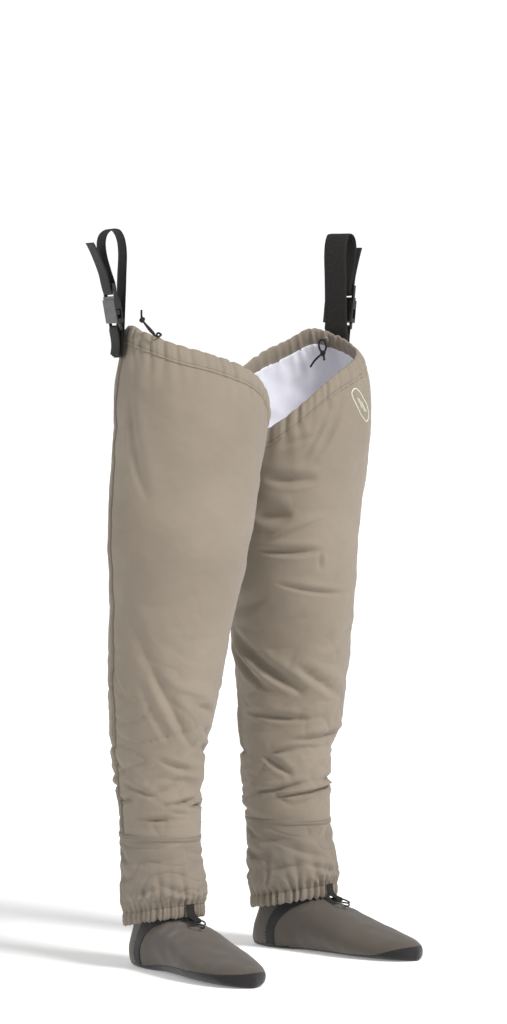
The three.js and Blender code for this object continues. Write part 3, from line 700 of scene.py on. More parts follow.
def gathers(side, angle, below):
    """Pleats that hang from the drawn-in hem. below is the distance under the hem's stitching."""
    total = np.zeros(np.broadcast(angle, below).shape)
    around = 2 * math.pi * 105
    for mark, half, depth, length, lean in GATHERS[side]:
        place = angle % (2 * math.pi) * 105 + lean * below
        gap = (place - mark + around / 2) % around - around / 2
        spread = half * (1 + np.clip(below, 0, None) / length * 1.6)
        fade = np.exp(-((np.clip(below, 0, None) / length) ** 1.4))
        q = np.abs(gap) / spread
        total += depth * fade * (0.45 * np.exp(-((q - 1.9) ** 2)) - np.exp(-(q**1.4)))
    return total


ALL_FOLDS = {side: FOLDS[side] + random_folds(side) for side in SIDES}


FOLD_STRENGTH = 1.4
DEEPEST_FOLD, HIGHEST_RIDGE = -12, 7.5


def drape(side, angle, height):
    """The whole displacement of a leg's cloth from its smooth oval, outwards."""
    angle, height = np.broadcast_arrays(np.asarray(angle, float), np.asarray(height, float))
    seed = 11 if side == "left" else 12
    points = oval(leg_at, angle, height, 0)
    total = sum(fold_depth(angle, height, fold) for fold in ALL_FOLDS[side])
    total = np.clip(total * FOLD_STRENGTH, DEEPEST_FOLD, HIGHEST_RIDGE)
    total = total + 2.0 * waves(points * [1, 1, 0.8], 170, seed)
    total = total + 0.8 * waves(points * [1, 1, 1.4], 62, seed + 10)
    low_down = 1 - smooth_step(300, 560, height)
    total = total + crumple(points, 78, seed + 30) * (0.5 + 2.2 * low_down)
    total = total + crumple(points, 40, seed + 40) * (0.1 + 1.0 * low_down)
    total = total + (0.2 + 0.2 * low_down) * waves(points * [1, 1, 1.6], 24, seed + 20)
    calm_above_seam = smooth_step(192, 212, height)
    below = hem_bottom(angle) - height
    calm_below_hem = 0.25 + 0.75 * smooth_step(0, 70, below)
    return total * calm_above_seam * calm_below_hem + gathers(side, angle, np.clip(below, 0, None))


# ---------------------------------------------------------------- leg cloth, lining and top hem
AROUND = 200
SHELL_BOTTOM = 154


def ring_angles(count):
    return np.linspace(0, 2 * math.pi, count, endpoint=False)


def leg_grid(side, columns, rows, bottom, top_gap, offset, wrinkle=0.0):
    angles = ring_angles(columns)[None, :]
    share = np.linspace(0, 1, rows)[:, None]
    heights = bottom + (hem_bottom(angles) + top_gap - bottom) * share
    depth = drape(side, angles, heights) + offset
    if wrinkle:
        points = oval(leg_at, angles, heights, 0)
        depth = depth + wrinkle * waves(points, 34, 71 if side == "left" else 72)
    points = oval(leg_at, angles, heights, depth)
    around = np.broadcast_to(angles * 100, heights.shape)
    return points, np.stack([around, heights], axis=-1)


def make_shell(side):
    rows = 230
    points, uv = leg_grid(side, AROUND, rows, SHELL_BOTTOM, 3, 0)
    faces = grid_faces(rows, AROUND, flip=True)
    shell = make_object(f"{side}_shell_cloth", points.reshape(-1, 3), faces, side, uv.reshape(-1, 2))
    thicken(shell, 1.2)
    piece(shell, f"{side}_wader", "shell_cloth", SHELL, f"{side}_leg_shell")


def make_lining(side):
    rows, columns = 210, AROUND
    points, uv = leg_grid(side, columns, rows, 200, 2, -4.2, wrinkle=0.5)
    faces = grid_faces(rows, columns, flip=True)
    lining = make_object(f"{side}_lining_cloth", points.reshape(-1, 3), faces, side, uv.reshape(-1, 2))
    thicken(lining, 0.6)
    piece(lining, f"{side}_wader", "lining_cloth", LINING, f"{side}_leg_lining")


HEM_SECTION = [
    (0.9, -1.5),
    (1.3, 1.2),
    (0.7, 3.2),
    (1.5, 5.5),
    (2.4, 9.5),
    (2.7, 14),
    (2.3, 18.5),
    (1.5, 22),
    (0.3, 24.8),
    (-1.4, 26),
    (-3.2, 25),
    (-4.4, 21.5),
    (-5.0, 17),
    (-5.3, 12),
    (-4.9, 7.5),
    (-4.2, 4),
    (-4.6, 1.6),
    (-4.1, -1.2),
    (-1.6, -2),
]


def make_hem(side):
    columns = 420
    angles = ring_angles(columns)[None, :]
    section = np.array(HEM_SECTION)
    offset, up = section[:, :1], section[:, 1:]
    base = drape(side, angles, hem_bottom(angles))
    pleat = gathers(side, angles, np.zeros_like(angles))
    rise = np.clip(up / 26, 0, 1)
    outward = np.where(offset > -1.5, 1.0, 0.55)
    flutter = waves(oval(leg_at, angles, rim_height(angles), 0), 17, 31 if side == "left" else 32)
    depth = offset + base + (0.5 * np.sin(rise * math.pi) + 0.15 * rise) * pleat * outward
    depth = depth + 0.5 * flutter * np.sin(rise * math.pi)
    heights = hem_bottom(angles) + up + rise * (0.7 * pleat + 0.7 * flutter)
    points = oval(leg_at, angles, heights, depth)
    rows = len(section)
    faces = grid_faces(rows, columns, wrap_rows=True, flip=True)
    uv = np.stack(np.broadcast_arrays(angles * 100, up + offset), axis=-1)
    hem = make_object(f"{side}_hem", points.reshape(-1, 3), faces, side, uv.reshape(-1, 2))
    piece(hem, f"{side}_wader", "shell_cloth", SHELL, f"{side}_top_hem")


def make_hem_cord(side):
    """The drawcord inside the hem's channel. It follows the channel's own drape."""
    turn = CORD_EXIT[side] + np.linspace(0.03, 2 * math.pi - 0.03, 360)
    pleat = gathers(side, turn, np.zeros_like(turn))
    base = drape(side, turn, hem_bottom(turn))
    path = oval(leg_at, turn, hem_bottom(turn) + 13 + 0.35 * pleat, base - 1.3 + 0.57 * pleat)
    piece(tube(f"{side}_channel_cord", path, 1.4, side), f"{side}_wader", "cord", CORD, f"{side}_hem_cord")


# ---------------------------------------------------------------- gravel guard
def guard_puckers(side):
    random = rng_for(side + "puckers")
    around = 2 * math.pi * 60
    return [
        (
            mark,
            random.uniform(1.5, 2.8),
            random.uniform(1.8, 4.0),
            random.uniform(14, 48),
            random.normal(0, 0.22),
        )
        for mark in spaced_marks(random, 7.5, 12.5, around)
    ]


PUCKERS = {side: guard_puckers(side) for side in SIDES}


def puckers(side, angle, above):
    """Pleats that rise from the elastic hem of the gravel guard."""
    total = np.zeros(np.broadcast(angle, above).shape)
    around = 2 * math.pi * 60
    for mark, half, depth, length, lean in PUCKERS[side]:
        place = angle % (2 * math.pi) * 60 + lean * above
        gap = (place - mark + around / 2) % around - around / 2
        up = np.clip(above, 0, None)
        spread = half * (1 + up / length * 1.5)
        fade = np.exp(-((up / length) ** 1.3))
        q = np.abs(gap) / spread
        total += depth * fade * (0.5 * np.exp(-((q - 1.9) ** 2)) - np.exp(-(q**1.5)))
    return total


GUARD_FOLDS = {
    "right": [
        (88, 148, 30, 70, 12, 2.6, 0.1),
        (64, 120, -24, 60, 10, 2.6, 0.1),
        (110, 170, -12, 60, 9, 2.4, 0),
        (35, 160, 12, 60, 12, 2.2, 0.1),
        (20, 118, 18, 46, 9, 2.4, 0),
        (120, 125, 20, 60, 10, 3, 0.1),
    ],
    "left": [
        (130, 150, 22, 76, 12, 2.6, 0.1),
        (160, 128, -20, 66, 11, 3, 0.1),
        (105, 124, 16, 60, 10, 3, 0.1),
        (180, 165, -10, 60, 10, 2.4, 0),
        (85, 168, 12, 60, 12, 2.2, 0.1),
        (205, 140, 20, 60, 12, 2.6, 0),
    ],
}


def guard_drape(side, angle, height):
    angle, height = np.broadcast_arrays(np.asarray(angle, float), np.asarray(height, float))
    bottom = cuff_bottom(angle) + CUFF_HEIGHT
    seed = 41 if side == "left" else 42
    points = oval(guard_at, angle, height, 0)
    random = rng_for(side + "guard")
    spare = [
        (
            220 + 120 * (i % 3) / 3 + random.uniform(0, 40),
            112 + 11 * i,
            random.normal(0, 20),
            random.uniform(45, 80),
            random.uniform(8, 13),
            random.uniform(2, 3.4),
            0.05,
        )
        for i in range(7)
    ]
    total = sum(fold_depth(angle, height, fold) for fold in GUARD_FOLDS[side] + spare)
    total = 1.3 * total + 1.6 * waves(points * [1, 1, 0.7], 60, seed) + 0.5 * waves(points, 26, seed + 5)
    total = total + 1.7 * crumple(points, 58, seed + 9)
    share = np.clip((height - bottom) / (CALF_SEAM_HEIGHT - bottom), 0, 1)
    calm = smooth_step(0, 0.16, share) * smooth_step(0, 0.12, 1 - share)
    pleats = puckers(side, angle, np.clip(height - bottom, 0, None))
    return total * calm + pleats * smooth_step(0, 0.3, 1 - share)


def make_guard(side):
    rows, columns = 70, 280
    angles = ring_angles(columns)[None, :]
    share = np.linspace(0, 1, rows)[:, None]
    bottom = cuff_bottom(angles) + CUFF_HEIGHT - 2
    heights = bottom + (CALF_SEAM_HEIGHT + 1 - bottom) * share
    points = oval(guard_at, angles, heights, guard_drape(side, angles, heights))
    uv = np.stack(np.broadcast_arrays(angles * 58, heights), axis=-1)
    faces = grid_faces(rows, columns, flip=True)
    guard = make_object(f"{side}_guard_cloth", points.reshape(-1, 3), faces, side, uv.reshape(-1, 2))
    thicken(guard, 1.0)
    piece(guard, f"{side}_wader", "guard_cloth", GUARD, f"{side}_gravel_guard")


CUFF_SECTION = [
    (-0.6, 20.5),
    (-1.0, 18.6),
    (-0.1, 16),
    (0.8, 13),
    (0.4, 10.4),
    (0.8, 7.6),
    (0.3, 4),
    (-0.6, 1.2),
    (-2.4, 0),
    (-4.4, 1),
    (-5.4, 4),
    (-5.6, 9),
    (-5.4, 14),
    (-5.0, 18),
    (-3.0, 20.5),
]


def make_cuff(side):
    columns = 420
    angles = ring_angles(columns)[None, :]
    section = np.array(CUFF_SECTION)
    offset, up = section[:, :1], section[:, 1:]
    pleat = puckers(side, angles, np.zeros_like(angles))
    rise = np.clip(up / 20, 0, 1)
    flutter = waves(oval(cuff_at, angles, cuff_bottom(angles), 0), 9, 51 if side == "left" else 52)
    outward = np.where(offset > -2, 1.0, 0.35)
    depth = offset + (0.75 + 0.25 * rise) * pleat * outward + 0.45 * flutter * outward
    heights = cuff_bottom(angles) + up - (1 - rise) * (0.5 * pleat + 0.7 * flutter)
    points = oval(cuff_at, angles, heights, depth)
    faces = grid_faces(len(section), columns, wrap_rows=True)
    uv = np.stack(np.broadcast_arrays(angles * 58, up + offset), axis=-1)
    cuff = make_object(f"{side}_cuff", points.reshape(-1, 3), faces, side, uv.reshape(-1, 2))
    piece(cuff, f"{side}_wader", "guard_cloth", GUARD, f"{side}_guard_cuff")


# The binding over the calf seam, as (offset from the leg, height) round its cross section.
CALF_BINDING = [
    (0.6, 189.2),
    (1.0, 189.9),
    (1.25, 193.3),
    (1.0, 196.7),
    (0.6, 197.4),
    (-1.2, 197.4),
    (-1.2, 189.2),
]


def make_calf_seam(side):
    """A closed flat ring of cloth round the leg, over the seam of leg and guard."""
    angles = ring_angles(200)[None, :]
    section = np.array(CALF_BINDING)
    offset, height = section[:, :1], section[:, 1:]
    points = oval(leg_at, angles, height, offset)
    wobble = 0.35 * waves(points, 30, 61)
    points = oval(leg_at, angles, height + 0.5 * waves(points, 60, 62), offset + wobble)
    faces = grid_faces(*points.shape[:2], wrap_rows=True, flip=True)
    uv = np.stack(np.broadcast_arrays(angles * 58, height), axis=-1)
    band = make_object(f"{side}_calf_seam", points.reshape(-1, 3), faces, side, uv.reshape(-1, 2))
    piece(band, f"{side}_wader", "guard_cloth", GUARD, f"{side}_calf_binding")


# ---------------------------------------------------------------- stitching and the side seam
STITCH = [(-1.5, 0.12), (-1.05, 0.42), (0, 0.5), (1.05, 0.42), (1.5, 0.12)]  # along, radius
STITCH_GAP = 4.0


def stitches(name, side, centres, alongs, outs, slot):
    """One mesh of many small sewn stitches, each a short rounded lozenge of thread."""
    points, faces = [], []
    for centre, along, out in zip(centres, alongs, outs):
        along = along / np.linalg.norm(along)
        out = out - along * np.dot(out, along)
        out /= np.linalg.norm(out)
        side_way = np.cross(along, out)
        first = len(points)
        for place, radius in STITCH:
            for k in range(6):
                turn = math.pi * k / 3
                around = out * math.sin(turn) + side_way * math.cos(turn)
                points.append(centre + along * place + around * radius)
        for r in range(len(STITCH) - 1):
            for k in range(6):
                a, b = first + r * 6 + k, first + r * 6 + (k + 1) % 6
                faces.append((a, a + 6, b + 6, b))
        faces.append(tuple(first + k for k in range(6)))
        last = first + (len(STITCH) - 1) * 6
        faces.append(tuple(last + k for k in reversed(range(6))))
    row = make_object(name, points, faces, side, np.zeros((len(points), 2)))
    piece(row, f"{side}_wader", slot, THREAD)


def sewn_line(name, side, surface, track, slot="shell_cloth"):
    """Stitches along a track on a surface. track is an array of (angle, height)."""
    track = np.array(track, float)
    places = surface(track[:, 0], track[:, 1])
    outs = surface(track[:, 0], track[:, 1], 2.0) - places
    run = np.concatenate([[0], np.cumsum(np.linalg.norm(np.diff(places, axis=0), axis=1))])
    marks = np.arange(STITCH_GAP / 2, run[-1], STITCH_GAP)

    def at(values, mark):
        return np.stack([np.interp(mark, run, values[:, k]) for k in range(3)], axis=-1)

    centres = at(places, marks)
    alongs = at(places, marks + 0.8) - at(places, marks - 0.8)
    stitches(name, side, centres, alongs, at(outs, marks), slot)


def shell_surface(side):
    def surface(angle, height, extra=0.0):
        return oval(leg_at, angle, height, drape(side, angle, height) + extra)

    return surface


SIDE_SEAM_AZIMUTH = math.radians(-20)


def make_side_seam(side):
    """A felled seam: a raised double strip of cloth down the outer side, sewn along both edges."""
    rows = 330
    half = 4.6
    inset = half - 0.5
    section = np.array([(-half, 0.0), (-inset, 1.2), (0, 1.5), (inset, 1.2), (half, 0.0), (0, -0.5)])
    top = float(hem_bottom(SIDE_SEAM_AZIMUTH)) + 1
    heights = np.linspace(197, top, rows)[:, None]
    reach = leg_table(heights[:, 0])
    reach = ((reach[:, 2] + reach[:, 3]) / 2)[:, None]
    wander = 1.1 * np.sin(heights / 47) + 0.5 * np.sin(heights / 13.7)
    angles = SIDE_SEAM_AZIMUTH + (section[:, 0][None, :] + wander) / reach
    depth = drape(side, angles, np.broadcast_to(heights, angles.shape)) + section[:, 1][None, :]
    depth = depth + 0.22 * np.sin(heights / 2.9 + 1.7 * np.sin(heights / 21)) * (section[:, 1] > 0)[None, :]
    points = oval(leg_at, angles, heights, depth)
    count = len(section)
    faces = grid_faces(rows, count, flip=True) + end_caps(rows, count)
    uv = np.stack(np.broadcast_arrays(section[:, 0][None, :], heights), axis=-1)
    seam = make_object(f"{side}_side_seam_strip", points.reshape(-1, 3), faces, side, uv.reshape(-1, 2))
    piece(seam, f"{side}_wader", "shell_cloth", SEAM, f"{side}_side_seam")
    middle = heights[:, 0]
    for label, shift in (("front", 3.3), ("back", -3.3)):
        track = np.stack([SIDE_SEAM_AZIMUTH + (shift + wander[:, 0]) / reach[:, 0], middle], axis=-1)
        surface = shell_surface(side)
        sewn_line(f"{side}_seam_thread_{label}", side, lambda a, h, e=0.0: surface(a, h, 1.25 + e), track)


def make_hem_thread(side):
    angles = np.linspace(0, 2 * math.pi, 900)
    track = np.stack([angles, hem_bottom(angles) + 3.2], axis=-1)

    def on_hem(angle, height, extra=0.0):
        depth = drape(side, angle, hem_bottom(angle)) + 0.78 + extra
        return oval(leg_at, angle, height, depth)

    sewn_line(f"{side}_hem_thread", side, on_hem, track)

    def on_binding(angle, height, extra=0.0):
        return oval(leg_at, angle, height, 1.05 + extra)

    for label, height in (("upper", 195.2), ("lower", 191.6)):
        ring = np.stack([angles, np.full_like(angles, height)], axis=-1)
        sewn_line(f"{side}_calf_thread_{label}", side, on_binding, ring, "guard_cloth")


for side in SIDES:
    make_shell(side)
    make_lining(side)
    make_hem(side)
    make_hem_cord(side)
    make_guard(side)
    make_cuff(side)
    make_calf_seam(side)
    make_side_seam(side)
    make_hem_thread(side)

# ---------------------------------------------------------------- the neoprene sock
# In the foot's own frame: x to the outer side, s forward from the heel, z up.
FOOT_STATIONS = [
    [2, 16, 24],
    [18, 29, 50],
    [50, 35, 66],
    [90, 39, 80],
    [130, 43, 77],
    [165, 47, 66],
    [205, 51, 52],
    [245, 47, 40],
    [278, 36, 31],
    [294, 20, 24],
    [300, 6, 17],
]
ANKLE_STATIONS = [
    [-4, 52, 26, 44],
    [20, 55, 34, 54],
    [45, 58, 36, 55],
    [75, 66, 38, 54],
    [110, 69, 40, 52],
    [160, 69, 41, 54],
]
SEAM_CURVE = [(45, -10), (47, 12), (57, 42), (80, 67), (112, 83), (150, 96), (190, 108)]
# How high the black sole comes up the foot's outer and inner sides: distance from the heel, height.
SOLE_OUTER = [[-30, 5], [40, 5], [70, 7], [110, 13], [160, 17], [220, 18], [270, 19], [340, 24]]
SOLE_INNER = [[-30, 6], [60, 5], [150, 5.5], [220, 7], [255, 10], [285, 19], [340, 30]]
FOOT_TURN = {"left": math.radians(2), "right": math.radians(15)}
ANKLE_CENTRE = (145.3, 68)
SOCK_LENGTH = 300
SOCK_TOP = 152
PIVOT = (135, 95)  # the sections of the sock turn about this (s, z) in front of the ankle

foot_table = smooth_table(FOOT_STATIONS)
ankle_table = smooth_table(ANKLE_STATIONS)
sole_outer_table = smooth_table(SOLE_OUTER)
sole_inner_table = smooth_table(SOLE_INNER)


def foot_to_leg(local, side):
    """From the foot's frame (x, s, z) to the leg's. The foot turns about the middle of the ankle."""
    x, s, z = np.moveaxis(np.asarray(local, float), -1, 0)
    turn = FOOT_TURN[side]
    lateral, forward = ANKLE_CENTRE
    s = s - forward
    return np.stack(
        [
            lateral + x * math.cos(turn) + s * math.sin(turn),
            HEEL_BACK_Y - forward + x * math.sin(turn) - s * math.cos(turn),
            z,
        ],
        axis=-1,
    )


def sole_edge(x, s):
    inner, outer = sole_inner_table(s)[..., 0], sole_outer_table(s)[..., 0]
    return inner + (outer - inner) * smooth_step(-18, 18, x)


def soft_min(a, b, blend):
    h = np.clip(0.5 + 0.5 * (b - a) / blend, 0, 1)
    return b + (a - b) * h - blend * h * (1 - h)


def sock_field(x, s, z):
    """Negative inside the sock: the foot and the ankle melted together, and cut flat by the floor."""
    half, top = np.moveaxis(foot_table(s), -1, 0)
    middle = top / 2 - 2
    tall = middle + 4
    round_ = ((np.abs(x) / half) ** 2.44 + (np.abs(z - middle) / tall) ** 2.22) ** (1 / 2.33)
    foot = (round_ - 1) * np.minimum(half, tall)
    past = np.clip(s - SOCK_LENGTH, 0, None) + np.clip(2 - s, 0, None)
    foot = np.where(past > 0, np.hypot(np.clip(foot, 0, None), past) + 0.01, foot)
    centre, wide, deep = np.moveaxis(ankle_table(z), -1, 0)
    ankle = (np.hypot(x / wide, (s - centre) / deep) - 1) * np.minimum(wide, deep)
    body = soft_min(foot, ankle, 14) + 0.8
    return -soft_min(-body, z, 6)


def sock_sections():
    """The planes that cut the sock, toe to ankle: a start (s, z) and a direction (s, z) into the foot."""
    sections = []
    reach = SOCK_LENGTH - 0.3 - PIVOT[0]
    for v in np.linspace(1, 0, 62):
        sections.append(((PIVOT[0] + reach * math.sin(v * math.pi / 2), PIVOT[1]), (0, -1)))
    for turn in np.linspace(0, math.pi / 2, 52)[1:]:
        sections.append((PIVOT, (-math.sin(turn), -math.cos(turn))))
    for z in np.linspace(PIVOT[1], SOCK_TOP, 14)[1:]:
        sections.append(((PIVOT[0], z), (-1, 0)))
    return sections


def sock_grid(columns):
    """The sock's outer surface as rings of (x, s, z), with the rings' centres."""
    sections = sock_sections()
    start = np.array([p for p, _ in sections], float)
    down = np.array([d for _, d in sections], float)
    reach = np.linspace(0, 150, 601)
    s = start[:, :1] + down[:, :1] * reach
    z = start[:, 1:] + down[:, 1:] * reach
    inside = sock_field(np.zeros_like(s), s, z) < 0
    first = reach[np.argmax(inside, axis=1)]
    last = reach[len(reach) - 1 - np.argmax(inside[:, ::-1], axis=1)]
    middle = ((first + last) / 2)[:, None]
    centre_s, centre_z = start[:, :1] + down[:, :1] * middle, start[:, 1:] + down[:, 1:] * middle
    turns = ring_angles(columns)[None, :]
    go_x = np.broadcast_to(np.sin(turns), (len(sections), columns))
    go_s, go_z = -np.cos(turns) * down[:, :1], -np.cos(turns) * down[:, 1:]
    low, high = np.zeros_like(go_x), np.full(go_x.shape, 120.0)
    for _ in range(24):
        mid = (low + high) / 2
        out = sock_field(go_x * mid, centre_s + go_s * mid, centre_z + go_z * mid) > 0
        high = np.where(out, mid, high)
        low = np.where(out, low, mid)
    grid = np.stack([go_x * low, centre_s + go_s * low, centre_z + go_z * low], axis=-1)
    centres = np.stack([np.zeros(len(sections)), centre_s[:, 0], centre_z[:, 0]], axis=-1)
    return grid, centres


def grid_normals(grid, centres):
    around = np.roll(grid, -1, axis=1) - np.roll(grid, 1, axis=1)
    along = np.gradient(grid, axis=0)
    normals = np.cross(around, along)
    normals /= np.linalg.norm(normals, axis=-1, keepdims=True) + 1e-9
    outward = np.sign(((grid - centres[:, None, :]) * normals).sum(axis=-1, keepdims=True))
    return normals * np.where(outward == 0, 1, outward)


def clip_faces(points, faces, values):
    """Keeps the part of a mesh where values are over zero, cutting its faces along the zero line.
    points hold any number of columns, all of which are cut alike."""
    points, out_faces, made, kept = list(points), [], {}, {}
    fresh = []

    def keep(i):
        if i not in kept:
            kept[i] = len(fresh)
            fresh.append(points[i])
        return kept[i]

    def cross(i, j):
        key = (min(i, j), max(i, j))
        if key not in made:
            a, b = key
            t = values[a] / (values[a] - values[b])
            made[key] = len(fresh)
            fresh.append(points[a] + (points[b] - points[a]) * t)
        return made[key]

    for face in faces:
        corners = []
        for i, j in zip(face, (*face[1:], face[0])):
            if values[i] > 0:
                corners.append(keep(i))
            if (values[i] > 0) != (values[j] > 0):
                corners.append(cross(i, j))
        if len(corners) > 2:
            out_faces.append(tuple(corners))
    return np.array(fresh), out_faces


def seam_side(s, z):
    """Signed distance from the seam between heel and vamp, positive towards the toes."""
    line = catmull([(s_, z_, 0) for s_, z_ in SEAM_CURVE], 12)[:, :2]
    here = np.stack([s, z], axis=-1)[:, None, :]
    start, end = line[:-1][None], line[1:][None]
    run = end - start
    share = np.clip(((here - start) * run).sum(-1) / (run**2).sum(-1), 0, 1)
    gap = here - (start + run * share[..., None])
    distance = np.linalg.norm(gap, axis=-1)
    nearest = distance.argmin(axis=1)
    pick = np.arange(len(nearest))
    run, gap = run[0][nearest], gap[pick, nearest]
    sign = np.sign(run[:, 1] * gap[:, 0] - run[:, 0] * gap[:, 1])
    return distance[pick, nearest] * sign


def make_sock(side):
    columns = 132
    grid, centres = sock_grid(columns)
    seed = 81 if side == "left" else 82
    normals = grid_normals(grid, centres)
    lift = np.clip(grid[..., 2] / 14, 0, 1)[..., None]
    dents = 0.8 * waves(grid, 70, seed) + 0.3 * waves(grid, 26, seed + 1)
    instep = np.exp(-(((grid[..., 1] - 128) / 34) ** 2)) * smooth_step(40, 70, grid[..., 2])
    creases = instep * waves(grid * [0.25, 1.3, 1.3], 22, seed + 2) * 1.1
    grid = grid + normals * (dents + creases)[..., None] * lift
    rows = grid.shape[0]
    toe_rings = []
    tip = grid[0].mean(axis=0) + np.array([0, 0.2, 0])
    for size, push in ((0.35, 0.9), (0.7, 0.6)):
        toe_rings.append(tip + (grid[0] - tip) * size + np.array([0, push, 0]))
    grid = np.concatenate([np.array(toe_rings), grid])
    rows += len(toe_rings)
    flat = grid.reshape(-1, 3)
    all_centres = np.concatenate([np.repeat([tip], len(toe_rings), axis=0), centres])
    outs = grid_normals(grid, all_centres)
    outs[: len(toe_rings)] = np.array([0, 1, 0])
    points = np.concatenate([flat, outs.reshape(-1, 3)], axis=1)
    faces = grid_faces(rows, columns)
    hub = len(points)
    points = np.concatenate([points, [[*(tip + np.array([0, 1.0, 0])), 0, 1, 0]]])
    faces += [(hub, (k + 1) % columns, k) for k in range(columns)]
    toward_upper = points[:, 2] - sole_edge(points[:, 0], points[:, 1])

    def part(name, kept_points, kept_faces, thickness, slot, material, node, grow=0.0):
        local = kept_points[:, :3] + kept_points[:, 3:] * grow
        uv = np.stack([local[:, 1], local[:, 2] + local[:, 0]], axis=-1)
        obj = make_object(name, foot_to_leg(local, side), kept_faces, side, uv)
        thicken(obj, thickness)
        piece(obj, f"{side}_wader", slot, material, f"{side}_{node}")

    upper_points, upper_faces = clip_faces(points, faces, toward_upper)
    sole_points, sole_faces = clip_faces(points, faces, -toward_upper)
    part(f"{side}_sole", sole_points, sole_faces, 3.5, "black_neoprene", BLACK_NEOPRENE, "sock_sole", 0.35)
    forward = seam_side(upper_points[:, 1], upper_points[:, 2])
    vamp = clip_faces(upper_points, upper_faces, forward)
    heel = clip_faces(upper_points, upper_faces, -forward)
    part(f"{side}_vamp", *vamp, 3.5, "neoprene", NEOPRENE, "sock_vamp")
    part(f"{side}_heel", *heel, 3.5, "neoprene", NEOPRENE, "sock_heel")
    tape = clip_faces(upper_points, upper_faces, 9 - forward)
    tape = clip_faces(*tape, 9 + seam_side(tape[0][:, 1], tape[0][:, 2]))
    tape = clip_faces(*tape, tape[0][:, 2] - 1.5)
    part(f"{side}_seam_tape", *tape, 0.9, "black_neoprene", BLACK_NEOPRENE, "sock_seam_tape", 1.0)
    back = clip_faces(upper_points, upper_faces, 5 - np.abs(upper_points[:, 0]))
    back = clip_faces(*back, 40 - back[0][:, 1])
    back = clip_faces(*back, 56 - back[0][:, 2])
    part(f"{side}_heel_tape", *back, 0.9, "black_neoprene", BLACK_NEOPRENE, "sock_heel_tape", 1.0)


# ---------------------------------------------------------------- straps and buckles
WEBBING_WIDTH = 38
WEBBING_THICKNESS = 1.8
# The belt strap on each rim: its place round the leg, the way its face looks, its base's height.
STRAPS = {
    "left": (math.radians(8), math.radians(10), 928),
    "right": (math.radians(-20), math.radians(28), 923),
}
UP = np.array([0, 0, 1.0])
# The webbing's paths, as (out from the leg, up from the strap's base).
STRAP_INNER = [
    (5.4, -36),
    (3.8, -20),
    (1.9, 0),
    (1, 30),
    (-0.5, 80),
    (-1.5, 118),
    (2, 137),
    (8.5, 146.8),
    (14, 148),
]
STRAP_OUTER = [
    (14.5, 148),
    (20, 146.8),
    (27, 141),
    (30.5, 130),
    (29, 112),
    (22, 88),
    (15.6, 70),
    (13.9, 59.5),
    (14.9, 55.5),
    (18.5, 54.9),
    (21.1, 58.4),
    (24, 68),
    (28, 84),
    (36, 104),
    (44, 121),
    (48, 128),
]
BUCKLE_TAB = [
    (8, -34),
    (6.4, -20),
    (4.9, -6),
    (4.4, 3),
    (5.2, 8),
    (8.2, 10),
    (11.6, 7.6),
    (12, 3),
    (10, -8),
    (9, -20),
    (10.4, -32),
]
# The hook tab's path, as (forward from the heel, up from the floor).
HOOK_TAB = [
    (136.2, 101),
    (136.8, 91),
    (140.6, 85.5),
    (147, 82.4),
    (153, 81),
    (155.7, 78.4),
    (153, 75.8),
    (147, 77.6),
    (141, 80.5),
]


def strap_place(side):
    azimuth, facing, height = STRAPS[side]
    base = oval(leg_at, azimuth, height - 14, 4)
    across = np.array([math.sin(facing), -math.cos(facing), 0])
    outward = np.array([math.cos(facing), math.sin(facing), 0])

    def place(x, out, z):
        x, out, z = (v[..., None] for v in np.broadcast_arrays(x, out, z))
        return base + 14 * UP + x * across + out * outward + z * UP

    return place


def foot_place(side):
    def place(x, s, z):
        return foot_to_leg(np.stack(np.broadcast_arrays(x, s, z), axis=-1), side)

    return place


def ribbon(name, side, path, width, thickness, place, sway):
    """A woven strip along a path in two dimensions, with soft edges, curling to and fro by sway."""
    line = catmull([(a, b, 0) for a, b in path], 6)[:, :2]
    run = np.concatenate([[0], np.cumsum(np.linalg.norm(np.diff(line, axis=0), axis=1))])
    marks = np.linspace(0, run[-1], max(8, int(run[-1] / 1.3)))
    centre = np.stack([np.interp(marks, run, line[:, k]) for k in range(2)], axis=-1)
    kernel = np.ones(3) / 3
    for k in range(2):
        centre[1:-1, k] = np.convolve(centre[:, k], kernel, mode="valid")
    tangent = np.gradient(centre, marks, axis=0)
    tangent /= np.linalg.norm(tangent, axis=1)[:, None]
    normal = np.stack([tangent[:, 1], -tangent[:, 0]], axis=-1)
    shares = np.linspace(-1, 1, 11)
    section = np.array([(share, 1) for share in shares] + [(-share, -1) for share in shares])
    edge = np.sqrt(np.clip(1 - np.abs(section[:, 0]) ** 16, 0.1, 1))
    xs = np.full((len(marks), 1), width / 2.0) * section[None, :, 0]
    thick = thickness / 2 * section[None, :, 1] * edge[None, :]
    curl = sway * np.sin(marks / 23.0)[:, None] * (section[None, :, 0])
    a = centre[:, :1] + normal[:, :1] * (thick + curl)
    b = centre[:, 1:] + normal[:, 1:] * (thick + curl)
    points = place(xs, a, b)
    rows, count = xs.shape
    faces = grid_faces(rows, count, flip=True) + end_caps(rows, count)
    uv = np.stack([xs, np.broadcast_to(marks[:, None], xs.shape)], axis=-1)
    return make_object(name, points.reshape(-1, 3), faces, side, uv.reshape(-1, 2))


